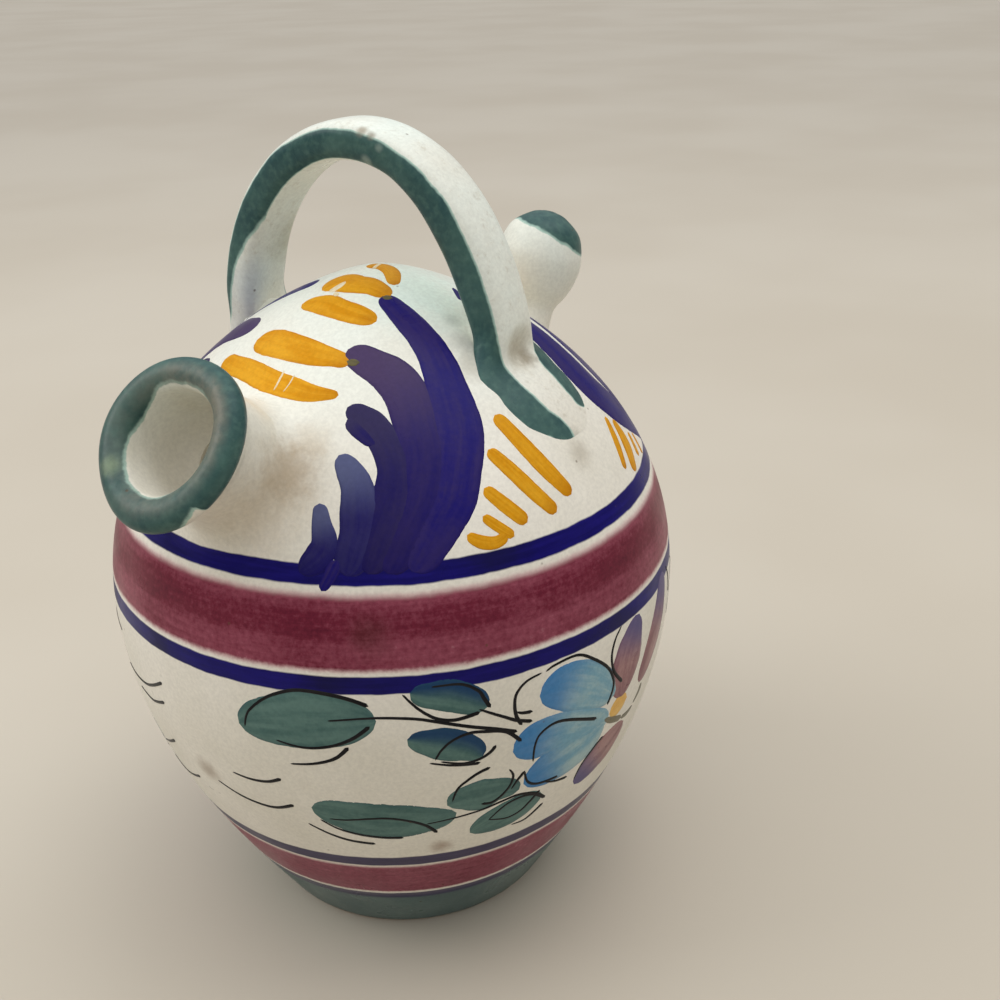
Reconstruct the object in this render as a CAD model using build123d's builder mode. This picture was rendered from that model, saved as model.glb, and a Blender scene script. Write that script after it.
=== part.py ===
"""Spanish botijo: a round earthenware water jug with a filling mouth, a drinking spout and an arched handle.

Millimetres, +Z up. The origin is the centre of the foot, on the plane it rests on.
The filling mouth points to -X, the drinking spout to +X, and the handle arches over the crown along Y.
"""

import os
from math import atan2, cos, degrees, pi, radians, sin

from build123d import *

# Body, thrown in two halves
foot_radius = 50.0
belly_radius = 91.0
joint_height = 112.0
crown_height = 212.5
wall = 6.0
floor_thickness = 8.0
foot_edge_round = 1.8
floor_corner_round = 8.0
seam_coil_radius = 4.0

# Filling mouth: its root's distance inside the belly's radius, lean from upright and length to the rim
mouth_inset = 23.0
mouth_lean = 53.0
mouth_length = 25.0
mouth_bore_radius = 14.3
mouth_wall = 3.4
rim_roll_radius = 4.1
rim_blend = 2.0
seat_relief = 1.2
seat_relief_height = 2.0
fill_hole_radius = 8.0
fill_hole_offset = 5.0
mouth_coil = 11.0
mouth_coil_edge = 1.8

# Drinking spout: its root's distance inside the belly's radius, turn from +X, lean from upright and length
spout_inset = 24.0
spout_azimuth = -8.3
spout_lean = 22.0
spout_length = 43.5
spout_bulb_radius = 13.3
spout_neck_radius = 8.2
spout_wall = 4.0
pour_hole_radius = 1.7
spout_coil = 5.0
spout_coil_edge = 0.9

# Handle: a strap bent to half an ellipse over a gap for the fingers, with its middle a drop below the crown,
# splayed at each foot and thinned to a tail that ends inside the belly's radius
finger_gap = 31.0
handle_drop = 27.5
handle_half_span = 54.5
handle_shift = 3.0
strap_thickness = 11.5
strap_width = 19.5
strap_edge_round = 3.6
foot_width = 24.0
foot_rise = 1.8
tail_inset = 20.0
tail_width = 20.0
tail_thickness = 3.0
thumb_radius = 9.0
thumb_depth = 1.2
foot_coil = 6.0
foot_coil_edge = 0.8

# Places that follow from these sizes, and the depth that a piece is drawn into the shoulder before it is cut
mouth_root_radius = belly_radius - mouth_inset
spout_root_radius = belly_radius - spout_inset
tail_reach = belly_radius - tail_inset
handle_top = crown_height + finger_gap + strap_thickness
handle_base_height = crown_height - handle_drop
wall_reach = 3 * wall

os.makedirs("parts", exist_ok=True)


def belly_radius_at(height):
    """Outer radius of the lower half: a quarter of a sine wave from the foot to the joint."""
    return foot_radius + (belly_radius - foot_radius) * sin(pi / 2 * height / joint_height)


def dome_height_at(radius, rim, rise):
    """Height of the upper half over the joint: a squashed circle with a slightly drawn-up crown."""
    return rise * (1 - (radius / rim) ** 1.43) ** (1 / 2.12)


def dome_points(rim, rise):
    """Points of a dome's half profile, from the joint to the crown."""
    shares = (1.0, 0.97, 0.9, 0.8, 0.65, 0.45, 0.25, 0.1, 0.0)
    return [(rim * s, joint_height + dome_height_at(rim * s, rim, rise)) for s in shares]


def shoulder_height_at(radius):
    """Height of the shoulder's outer face at a distance from the axis."""
    return joint_height + dome_height_at(radius, belly_radius, crown_height - joint_height)


def root_point(radius, azimuth):
    """Point on the shoulder's outer face, at a distance from the body's axis and a turn from +X."""
    turn = radians(azimuth)
    return Vector(radius * cos(turn), radius * sin(turn), shoulder_height_at(radius))


def section_plane(centre, azimuth, lean):
    """Plane whose y runs along an axis leaning from upright towards an azimuth, and whose x is a radius."""
    turn, tilt = radians(azimuth), radians(lean)
    radius_direction = (cos(turn) * cos(tilt), sin(turn) * cos(tilt), -sin(tilt))
    return Plane(origin=centre, x_dir=radius_direction, z_dir=(sin(turn), -cos(turn), 0))


def shoulder_lean_at(radius):
    """Lean from upright of the line square to the shoulder's outer face."""
    return degrees(atan2(shoulder_height_at(radius - 1) - shoulder_height_at(radius + 1), 2))


def luting_section(neck, size, edge):
    """Half section of clay smoothed into a hollow curve round a neck: its foot reaches into the shoulder."""
    foot = neck + size
    lip = neck + edge
    sag = foot**2 / (2 * belly_radius)
    with BuildSketch() as section:
        with BuildLine():
            Bezier((lip, size - sag), (lip, edge - sag), (foot, edge - sag))
            Polyline(
                (foot, edge - sag), (foot, -wall_reach), (0, -wall_reach), (0, size - sag), (lip, size - sag)
            )
        make_face()
    return section.sketch


# Shapes that the pieces are cut with: the shoulder as a full dome, and the hollow inside both halves
dome_rise = crown_height - joint_height
with BuildPart() as dome_form:
    with BuildSketch(Plane.XZ):
        with BuildLine():
            Spline(*dome_points(belly_radius, dome_rise), tangents=((0, 1), (-1, 0)))
            Polyline((0, crown_height), (0, joint_height), (belly_radius, joint_height))
        make_face()
    revolve(axis=Axis.Z)

with BuildPart() as dome_hollow:
    with BuildSketch(Plane.XZ):
        with BuildLine():
            Spline(*dome_points(belly_radius - wall, dome_rise - wall), tangents=((0, 1), (-1, 0)))
            Polyline((0, crown_height - wall), (0, joint_height), (belly_radius - wall, joint_height))
        make_face()
    revolve(axis=Axis.Z)

# Belly: the lower half, with a thick floor and a flat foot
wall_heights = [floor_thickness + (joint_height - floor_thickness) * k / 5 for k in range(6)]
with BuildPart() as belly:
    with BuildSketch(Plane.XZ):
        with BuildLine():
            Line((0, 0), (foot_radius, 0))
            Spline(*[(belly_radius_at(joint_height * k / 6), joint_height * k / 6) for k in range(7)])
            Line((belly_radius, joint_height), (belly_radius - wall, joint_height))
            Spline(*[(belly_radius_at(h) - wall, h) for h in reversed(wall_heights)])
            Polyline(
                (belly_radius_at(floor_thickness) - wall, floor_thickness),
                (0, floor_thickness),
                (0, 0),
            )
        make_face()
    revolve(axis=Axis.Z)
    foot_edge = belly.edges().filter_by(GeomType.CIRCLE).group_by(Axis.Z)[0].sort_by(SortBy.RADIUS)[-1]
    fillet(foot_edge, foot_edge_round)
    floor_edges = belly.edges().filter_by(GeomType.CIRCLE)
    floor_corner = floor_edges.filter_by_position(Axis.Z, floor_thickness - 0.01, floor_thickness + 0.01)
    fillet(floor_corner, floor_corner_round)
belly.part.label = "belly"
export_step(belly.part, "parts/belly.step")

# Shoulder: the upper half with the closed crown, pierced under the mouth and under the spout
mouth_root = root_point(mouth_root_radius, 180)
mouth_plane = section_plane(mouth_root, 180, mouth_lean)
mouth_axis = Axis(mouth_root, mouth_plane.y_dir)
spout_root = root_point(spout_root_radius, spout_azimuth)
spout_plane = section_plane(spout_root, spout_azimuth, spout_lean)
spout_axis = Axis(spout_root, spout_plane.y_dir)
spout_bore = spout_neck_radius - spout_wall
with BuildPart() as shoulder:
    add(dome_form.part)
    add(dome_hollow.part, mode=Mode.SUBTRACT)
    with BuildSketch(Plane(origin=mouth_root - Vector(0, fill_hole_offset, 0), z_dir=mouth_plane.y_dir)):
        Circle(fill_hole_radius)
    extrude(amount=wall_reach, both=True, mode=Mode.SUBTRACT)
    with BuildSketch(Plane(origin=spout_root, z_dir=spout_plane.y_dir)):
        Circle(spout_bore)
    extrude(amount=wall_reach, both=True, mode=Mode.SUBTRACT)
shoulder.part.label = "shoulder"
export_step(shoulder.part, "parts/shoulder.step")

# Seam coil: the roll of soft clay that seals the joint of the two halves from inside
with BuildPart() as seam_coil:
    with BuildSketch(Plane.XZ):
        with Locations((belly_radius - wall, joint_height)):
            Circle(seam_coil_radius)
        with Locations((belly_radius - wall, joint_height)):
            Rectangle(
                2 * seam_coil_radius,
                2 * seam_coil_radius,
                align=(Align.MIN, Align.CENTER),
                mode=Mode.SUBTRACT,
            )
    revolve(axis=Axis.Z)
    add(belly.part, mode=Mode.SUBTRACT)
    add(shoulder.part, mode=Mode.SUBTRACT)
seam_coil.part.label = "seam_coil"
export_step(seam_coil.part, "parts/seam_coil.step")

# Filling mouth: a short neck with a thick rolled rim, widened inside where it is seated on the shoulder
neck_radius = mouth_bore_radius + mouth_wall
with BuildPart() as filling_mouth:
    with BuildSketch(mouth_plane):
        with Locations((mouth_bore_radius, mouth_length)):
            Rectangle(mouth_wall, mouth_length + wall_reach, align=(Align.MIN, Align.MAX))
        with Locations((mouth_bore_radius + rim_roll_radius, mouth_length)):
            Circle(rim_roll_radius)
    revolve(axis=mouth_axis)
    under_rim = filling_mouth.edges().filter_by(GeomType.CIRCLE)
    under_rim = under_rim.filter_by(lambda edge: abs(edge.radius - neck_radius) < 0.01)
    fillet(under_rim.sort_by(mouth_axis)[-1], rim_blend)
    with BuildSketch(mouth_plane):
        with BuildLine():
            Polyline(
                (0, -wall_reach),
                (mouth_bore_radius + seat_relief, -wall_reach),
                (mouth_bore_radius + seat_relief, 0),
                (mouth_bore_radius, seat_relief_height),
                (0, seat_relief_height),
                close=True,
            )
        make_face()
    revolve(axis=mouth_axis, mode=Mode.SUBTRACT)
    add(dome_form.part, mode=Mode.SUBTRACT)
filling_mouth.part.label = "filling_mouth"
export_step(filling_mouth.part, "parts/filling_mouth.step")

# Mouth coil: soft clay smoothed round the foot of the neck into a hollow curve
mouth_seat_plane = section_plane(mouth_root, 180, shoulder_lean_at(mouth_root_radius))
with BuildPart() as mouth_luting_coil:
    with BuildSketch(mouth_seat_plane):
        add(luting_section(neck_radius, mouth_coil, mouth_coil_edge))
    revolve(axis=Axis(mouth_root, mouth_seat_plane.y_dir))
    with BuildSketch(Plane(origin=mouth_root, z_dir=mouth_plane.y_dir)):
        Circle(neck_radius)
    extrude(amount=2 * mouth_length, both=True, mode=Mode.SUBTRACT)
    add(dome_form.part, mode=Mode.SUBTRACT)
mouth_luting_coil.part.label = "mouth_luting_coil"
export_step(mouth_luting_coil.part, "parts/mouth_luting_coil.step")

# Drinking spout: a hollow bulb on a thin neck, with a pin-like pouring hole in its tip
bulb_middle = 0.63 * spout_length
bulb_inner = spout_bulb_radius - spout_wall
with BuildPart() as drinking_spout:
    with BuildSketch(spout_plane):
        with BuildLine():
            Line((spout_neck_radius, -wall_reach), (spout_neck_radius, 0.22 * spout_length))
            Spline(
                (spout_neck_radius, 0.22 * spout_length),
                (0.78 * spout_bulb_radius, 0.41 * spout_length),
                (spout_bulb_radius, bulb_middle),
                (0.72 * spout_bulb_radius, 0.9 * spout_length),
                (pour_hole_radius, spout_length),
                tangents=((0, 1), (-1, 0)),
            )
            Line((pour_hole_radius, spout_length), (pour_hole_radius, spout_length - spout_wall))
            Spline(
                (pour_hole_radius, spout_length - spout_wall),
                (0.7 * bulb_inner, 0.86 * spout_length),
                (bulb_inner, bulb_middle),
                (0.66 * bulb_inner, 0.44 * spout_length),
                (spout_bore, 0.3 * spout_length),
                tangents=((1, 0), (0, -1)),
            )
            Polyline(
                (spout_bore, 0.3 * spout_length),
                (spout_bore, -wall_reach),
                (spout_neck_radius, -wall_reach),
            )
        make_face()
    revolve(axis=spout_axis)
    add(dome_form.part, mode=Mode.SUBTRACT)
drinking_spout.part.label = "drinking_spout"
export_step(drinking_spout.part, "parts/drinking_spout.step")

# Spout coil: soft clay smoothed round the foot of the spout
spout_seat_plane = section_plane(spout_root, spout_azimuth, shoulder_lean_at(spout_root_radius))
with BuildPart() as spout_luting_coil:
    with BuildSketch(spout_seat_plane):
        add(luting_section(spout_neck_radius, spout_coil, spout_coil_edge))
    revolve(axis=Axis(spout_root, spout_seat_plane.y_dir))
    with BuildSketch(Plane(origin=spout_root, z_dir=spout_plane.y_dir)):
        Circle(spout_neck_radius)
    extrude(amount=spout_length, both=True, mode=Mode.SUBTRACT)
    add(dome_form.part, mode=Mode.SUBTRACT)
spout_luting_coil.part.label = "spout_luting_coil"
export_step(spout_luting_coil.part, "parts/spout_luting_coil.step")

# Handle: a strap swept along half an ellipse, lofted at each end into a splayed foot and a thin tail
arch_span = handle_half_span - strap_thickness / 2
arch_rise = handle_top - strap_thickness / 2 - handle_base_height
leg_turn = 78.0
leg_reach = arch_span * sin(radians(leg_turn))
leg_height = handle_base_height + arch_rise * cos(radians(leg_turn))


def leg_section(side):
    """Section of the strap where the arch ends: its plane across the strap, its width and its thickness."""
    along = (0, arch_span * cos(radians(leg_turn)), -side * arch_rise * sin(radians(leg_turn)))
    origin = (0, handle_shift + side * leg_reach, leg_height)
    return Plane(origin=origin, x_dir=(1, 0, 0), z_dir=along), strap_width, strap_thickness


def foot_sections(side):
    """Sections from the bend at a foot to the tip of its tail, each with its plane, width and thickness."""
    bend = leg_reach + strap_thickness / 2 - handle_shift
    middle = (bend + tail_reach) / 2
    middle_width = (foot_width + tail_width) / 2
    middle_thickness = (strap_thickness + 2 * tail_thickness) / 3
    places = (
        (bend, foot_rise, 25.0, foot_width, strap_thickness),
        (middle, tail_thickness / 3, 0.0, middle_width, middle_thickness),
        (tail_reach, -tail_thickness / 5, 0.0, tail_width, tail_thickness),
    )
    sections = []
    for radius, rise, extra_dip, width, thickness in places:
        dip = radians(shoulder_lean_at(radius) + extra_dip)
        along = (0, cos(dip), -side * sin(dip))
        origin = (0, side * radius, shoulder_height_at(radius) + rise)
        sections.append((Plane(origin=origin, x_dir=(1, 0, 0), z_dir=along), width, thickness))
    return sections


with BuildPart() as handle:
    with BuildLine(Plane.YZ) as arch:
        EllipticalCenterArc(
            (handle_shift, handle_base_height), arch_span, arch_rise, 90 - leg_turn, arc_size=2 * leg_turn
        )
    with BuildSketch(leg_section(1)[0]):
        RectangleRounded(strap_width, strap_thickness, strap_edge_round)
    sweep(path=arch.line)
    for side in (-1, 1):
        for plane, width, thickness in (leg_section(side), *foot_sections(side)):
            with BuildSketch(plane):
                RectangleRounded(width, thickness, strap_edge_round * thickness / strap_thickness)
        loft()
    for side in (-1, 1):
        thumb_reach = leg_reach + strap_thickness / 2 + thumb_radius - thumb_depth
        with Locations((0, handle_shift + side * thumb_reach, leg_height)):
            Sphere(thumb_radius, mode=Mode.SUBTRACT)
    add(dome_form.part, mode=Mode.SUBTRACT)
handle.part.label = "handle"
export_step(handle.part, "parts/handle.step")

# Foot coils: soft clay smoothed into the corner under each leg of the handle
for name, side in (("handle_foot_coil_front", -1), ("handle_foot_coil_back", 1)):
    inner_face = handle_shift + side * (leg_reach - strap_thickness / 2)
    far_edge = inner_face - side * foot_coil
    far_height = shoulder_height_at(abs(far_edge)) + foot_coil_edge
    near_height = shoulder_height_at(abs(inner_face)) + foot_coil
    inside = inner_face + side * strap_thickness / 2
    with BuildPart() as foot_clay:
        with BuildSketch(Plane.YZ):
            with BuildLine():
                Bezier((inner_face, near_height), (inner_face, far_height), (far_edge, far_height))
                Polyline(
                    (far_edge, far_height),
                    (far_edge, far_height - wall_reach),
                    (inside, far_height - wall_reach),
                    (inside, near_height),
                    (inner_face, near_height),
                )
            make_face()
        extrude(amount=strap_width / 2 - strap_edge_round, both=True)
        add(handle.part, mode=Mode.SUBTRACT)
        add(dome_form.part, mode=Mode.SUBTRACT)
    foot_clay.part.label = name
    export_step(foot_clay.part, f"parts/{name}.step")
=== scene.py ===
"""Spanish botijo, dressed: a round earthenware water jug, glazed and painted by hand."""

from math import cos, pi, radians, sin

import bmesh
import bpy
import numpy as np
from mathutils import Matrix, Vector


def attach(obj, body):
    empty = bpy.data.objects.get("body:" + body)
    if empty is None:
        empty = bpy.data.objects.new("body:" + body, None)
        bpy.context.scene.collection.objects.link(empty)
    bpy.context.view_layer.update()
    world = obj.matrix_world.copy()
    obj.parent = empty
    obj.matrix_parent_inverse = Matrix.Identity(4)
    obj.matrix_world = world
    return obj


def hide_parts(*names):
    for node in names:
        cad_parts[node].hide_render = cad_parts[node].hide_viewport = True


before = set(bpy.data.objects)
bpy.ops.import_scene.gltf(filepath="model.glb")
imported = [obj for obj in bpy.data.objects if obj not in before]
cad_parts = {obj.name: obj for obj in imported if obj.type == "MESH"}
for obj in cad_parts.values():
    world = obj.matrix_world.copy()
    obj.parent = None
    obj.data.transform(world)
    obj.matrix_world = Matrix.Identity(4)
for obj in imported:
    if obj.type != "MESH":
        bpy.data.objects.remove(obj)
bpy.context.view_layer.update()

# Belly: the lower half of the body, thrown on the wheel from pale earthenware with a flat foot.
# It is dipped in a white glaze and its painted rings are laid on with a loaded brush while the jug turns.
# The shoulder is set on its open top.
MM = 0.001
FOOT_RADIUS = 50.0
BELLY_RADIUS = 91.0
JOINT_HEIGHT = 112.0
CROWN_HEIGHT = 212.5
WALL = 6.0
FLOOR = 8.0
BODY_POINTS = 288
DOME_BREADTH, DOME_LIFT = 1.43, 2.12

# Heights of the painted rings, from the ground
FOOT_GREEN = (-9.0, 23.6)
FOOT_LINE = (21.8, 25.7)
LOW_BAND = (27.0, 45.6)
LOW_LINE = (46.5, 51.6)
LOW_RING = (119.3, 124.6)
WINE_BAND = (125.9, 146.2)
WINE_CORE = (134.6, 142.8)
HIGH_RING = (148.3, 153.3)


def belly_radius_at(height):
    """Outer radius of the lower half, a quarter of a sine wave."""
    return FOOT_RADIUS + (BELLY_RADIUS - FOOT_RADIUS) * np.sin(pi / 2 * np.asarray(height) / JOINT_HEIGHT)


def dome_profile(rim, rise, count):
    """Rows of radius and height from the joint to the crown, a squashed circle."""
    turn = np.linspace(0, pi / 2, count)
    radius = rim * np.cos(turn) ** (2 / DOME_BREADTH)
    radius[-1] = 0.0
    return np.stack([radius, JOINT_HEIGHT + rise * np.sin(turn) ** (2 / DOME_LIFT)], 1)


def dome_height_at(radius):
    """Height of the shoulder's outer face at a distance from the axis."""
    share = np.clip(np.asarray(radius) / BELLY_RADIUS, 0, 1)
    return JOINT_HEIGHT + (CROWN_HEIGHT - JOINT_HEIGHT) * (1 - share**DOME_BREADTH) ** (1 / DOME_LIFT)


def lengths_along(rows):
    """Distance of each row of a line from its first row."""
    return np.concatenate([[0], np.cumsum(np.linalg.norm(np.diff(rows, axis=0), axis=1))])


crown_rows = dome_profile(BELLY_RADIUS, CROWN_HEIGHT - JOINT_HEIGHT, 1500)[::-1]
crown_reach = lengths_along(crown_rows)


def at_turn(azimuth, radius, height):
    """Point at a turn from +X, a distance from the axis and a height."""
    return np.array((radius * cos(radians(azimuth)), radius * sin(radians(azimuth)), height))


def on_shoulder(azimuth, reach):
    """Point of the shoulder at a turn and a distance from the crown, measured over the surface."""
    radius, height = (np.interp(reach, crown_reach, column) for column in crown_rows.T)
    return at_turn(azimuth, radius, height)


def on_belly(azimuth, height):
    """Point of the body at a turn and a height."""
    if height <= JOINT_HEIGHT:
        return at_turn(azimuth, belly_radius_at(height), height)
    return at_turn(azimuth, np.interp(height, crown_rows[::-1, 1], crown_rows[::-1, 0]), height)


def screen(red, green, blue):
    """Linear colour from a screen's values from 0 to 255."""
    shares = [c / 255 for c in (red, green, blue)]
    return tuple(((s + 0.055) / 1.055) ** 2.4 if s > 0.04 else s / 12.92 for s in shares) + (1.0,)


class Wire:
    """Output of a node. Sums and products of wires add math nodes to its tree."""

    def __init__(self, socket):
        self.socket, self.tree = socket, socket.id_data

    def __add__(self, other):
        return calc("ADD", self, other)

    def __sub__(self, other):
        return calc("SUBTRACT", self, other)

    def __rsub__(self, other):
        return calc("SUBTRACT", other, self)

    def __mul__(self, other):
        return calc("MULTIPLY", self, other)

    def __truediv__(self, other):
        return calc("DIVIDE", self, other)

    __radd__ = __add__


def fill(node, sockets):
    """Fills a node's sockets, by name or number, with values or wires."""
    for name, value in sockets.items():
        if isinstance(value, Wire):
            value.tree.links.new(value.socket, node.inputs[name])
        else:
            node.inputs[name].default_value = value


def add_node(tree, kind, sockets=None, **settings):
    """Adds a node, sets its settings and fills its sockets."""
    node = tree.nodes.new(kind)
    for name, value in settings.items():
        setattr(node, name, value)
    fill(node, sockets or {})
    return node


def from_node(kind, sockets, output=0, **settings):
    """Wire out of a new node in the tree of the first wire that feeds it."""
    tree = next(value.tree for value in sockets.values() if isinstance(value, Wire))
    return Wire(add_node(tree, kind, sockets, **settings).outputs[output])


def calc(operation, *values):
    """Result of a math node."""
    return from_node("ShaderNodeMath", dict(enumerate(values)), operation=operation)


def vector_calc(operation, *values):
    """Result of a vector math node."""
    return from_node("ShaderNodeVectorMath", dict(enumerate(values)), operation=operation)


def mix(share, first, second, how="MIX"):
    """Mix of two colours."""
    return from_node("ShaderNodeMix", {0: share, 6: first, 7: second}, 2, data_type="RGBA", blend_type=how)


def span(value, low, high, start=0.0, end=1.0):
    """A value's place between two limits, eased and held at the ends."""
    sockets = {"Value": value, "From Min": low, "From Max": high, "To Min": start, "To Max": end}
    return from_node("ShaderNodeMapRange", sockets, interpolation_type="SMOOTHSTEP")


def noise(place, scale, detail=2.0, rough=0.5):
    """Value of a noise texture round 0.5."""
    sockets = {"Vector": place, "Scale": scale, "Detail": detail, "Roughness": rough}
    return from_node("ShaderNodeTexNoise", sockets, "Fac")


def drift(place, scale, detail=2.0, rough=0.5):
    """Value of a noise texture round 0."""
    return noise(place, scale, detail, rough) - 0.5


def height_of(place):
    """Third coordinate of a place."""
    return from_node("ShaderNodeSeparateXYZ", {0: place}, 2)


def field(tree, name):
    """Value that a mesh holds at each point under a name."""
    return Wire(add_node(tree, "ShaderNodeAttribute", attribute_name=name).outputs["Fac"])


def shader_group(name, inputs):
    """Empty shader group with named inputs, and a wire from each."""
    tree = bpy.data.node_groups.new(name, "ShaderNodeTree")
    for label, kind in inputs.items():
        tree.interface.new_socket(label, in_out="INPUT", socket_type="NodeSocket" + kind)
    start = tree.nodes.new("NodeGroupInput").outputs
    return tree, *(Wire(start[label]) for label in inputs)


def close_group(tree, results):
    """Gives a shader group its named outputs, and returns it."""
    kinds = {"VALUE": "NodeSocketFloat", "RGBA": "NodeSocketColor"}
    for label, value in results.items():
        tree.interface.new_socket(label, in_out="OUTPUT", socket_type=kinds[value.socket.type])
    fill(tree.nodes.new("NodeGroupOutput"), results)
    return tree


def use_group(tree, group, sockets):
    """Wires out of a shader group used in a tree."""
    node = add_node(tree, "ShaderNodeGroup", sockets, node_tree=group)
    return {output.name: Wire(output) for output in node.outputs}


def cream_group():
    """White tin glaze over pale clay: warm clouds, and a cool cast towards the crown that is partly glaze
    lying thick and partly painted cool light from above.
    """
    tree, place = shader_group("cream_glaze", {"Place": "Vector"})
    clouds = noise(place, 26, 4, 0.55)
    warm = mix(span(clouds, 0.3, 0.7), screen(232, 227, 215), screen(223, 218, 204))
    # Cooler towards the crown: partly thick glaze, partly painted cool light from above
    crown_cast = span(height_of(place), 0.165, 0.215) * span(clouds, 0.2, 0.75, 1.0, 0.35)
    return close_group(tree, {"Colour": mix(crown_cast, warm, screen(222, 230, 221))})


def flaws_group():
    """What all glazed faces share: fine grain, scattered iron specks, pinholes and an uneven gloss."""
    tree, place, colour = shader_group("glaze_flaws", {"Place": "Vector", "Colour": "Color"})
    grain = noise(place, 850, 3, 0.6)
    cells = add_node(tree, "ShaderNodeTexVoronoi", {"Vector": place, "Scale": 150.0}).outputs
    chance = from_node("ShaderNodeSeparateColor", {0: Wire(cells["Color"])})
    speck = span(Wire(cells["Distance"]), 0.03, 0.09, 1.0, 0.0) * span(chance, 0.86, 0.9)
    tone = mix(span(grain, 0.25, 0.75), (0.93, 0.93, 0.93, 1), (1.05, 1.05, 1.05, 1))
    specked = mix(speck * 0.55, mix(1.0, colour, tone, "MULTIPLY"), screen(92, 66, 46))
    rough = span(noise(place, 60, 3), 0.3, 0.7, 0.27, 0.4) + speck * 0.25
    height = noise(place, 190, 2) * 0.7 + grain * 0.12 - speck
    return close_group(tree, {"Colour": specked, "Roughness": rough, "Height": height})


def ring_group():
    """Mask of a painted ring between two heights in millimetres, with its own softness at each edge."""
    inputs = dict.fromkeys(("Height", "Low", "High", "Low edge", "High edge"), "Float")
    tree, height, low, high, low_edge, high_edge = shader_group("painted_ring", inputs)
    over, under = (height - low) / low_edge, (high - height) / high_edge
    return close_group(tree, {"Mask": span(over, -1.0, 1.0) * span(under, -1.0, 1.0)})


def soft_mark_group():
    """Soft mark round a point, broken up by the grain of the glaze: used for dirt and fire marks, and for
    painted shade and painted light.
    """
    inputs = {"Place": "Vector", "Centre": "Vector", "Radius": "Float"}
    tree, place, centre, radius = shader_group("smudge", inputs)
    away = from_node("ShaderNodeVectorMath", {0: place, 1: centre}, "Value", operation="DISTANCE")
    share = away / radius + drift(place, 240, 4, 0.7) * 0.7
    return close_group(tree, {"Mask": span(share, 0.1, 1.0, 1.0, 0.0)})


SOFT_MARK = soft_mark_group()
CREAM = cream_group()
FLAWS = flaws_group()
RING = ring_group()


def new_material(name):
    """Material with nodes, and the object coordinates that place its pattern."""
    material = bpy.data.materials.new(name)
    material.use_nodes = True
    return material, Wire(add_node(material.node_tree, "ShaderNodeTexCoord").outputs["Object"])


def relief(height, strength):
    """Normal of a fine relief."""
    return from_node("ShaderNodeBump", {"Strength": strength, "Distance": 0.0006, "Height": height})


def shaded(place, sockets):
    """Fills the sockets of the material's shader."""
    fill(place.tree.nodes["Principled BSDF"], sockets)


def glazed(place, colour, bump=0.12, gloss=0.13):
    """Ends a material: the shared flaws, a little relief and a glossy glaze."""
    flaws = use_group(place.tree, FLAWS, {"Place": place, "Colour": colour})
    shaded(place, {
        "Base Color": flaws["Colour"], "Roughness": flaws["Roughness"],
        "Normal": relief(flaws["Height"], bump), "Specular IOR Level": gloss,
    })


def cream_at(place):
    """Colour of the white glaze."""
    return use_group(place.tree, CREAM, {"Place": place})["Colour"]


# Marks on the glaze, dirt and fire as well as painted shade and painted light: a point, a radius, a strength
# and a tint each
# Painted shade on the flank and foot of the mouth's neck, mixed with some brown dirt
NECK_SHADE_AND_GRIME = [
    ((-67.5, -19.5, 174.0), 13.0, 0.5, (150, 122, 84)),
    ((-60.0, -20.5, 181.0), 9.0, 0.3, (176, 148, 106)),
    ((-74.0, -12.0, 168.0), 22.0, 0.38, (184, 162, 128)),
]
SHOULDER_LIGHT_SHADE_AND_GRIME = [
    # A painted cool light on the crown, painted shade just beyond the front tail's end, and grey smears by
    # the front leg
    (on_shoulder(-100, 20), 26.0, 0.75, (222, 241, 232)),
    (on_shoulder(-93, 87), 6.5, 0.4, (150, 138, 118)),
    (on_shoulder(-101, 34), 4.5, 0.35, (150, 152, 142)),
    (on_shoulder(-105, 43), 6.5, 0.4, (158, 154, 142)),
    (on_shoulder(-109, 51), 8.0, 0.4, (160, 150, 130)),
]
FIRE_MARKS = [
    (on_belly(175, 79), 7.0, 0.5, (126, 98, 66)),
    (on_belly(-136, 56), 5.0, 0.55, (120, 78, 44)),
    (on_belly(-147, 136), 9.0, 0.4, (70, 36, 30)),
]


def with_marks(place, colour, marks):
    """Colour with soft marks on it: dirt, fire marks, painted shade and painted light."""
    for spot, radius, strength, tint in marks:
        sockets = {"Place": place, "Centre": [float(c) * MM for c in spot], "Radius": radius * MM}
        mark = use_group(place.tree, SOFT_MARK, sockets)["Mask"]
        colour = mix(mark * strength, colour, screen(*tint))
    return colour


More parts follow.
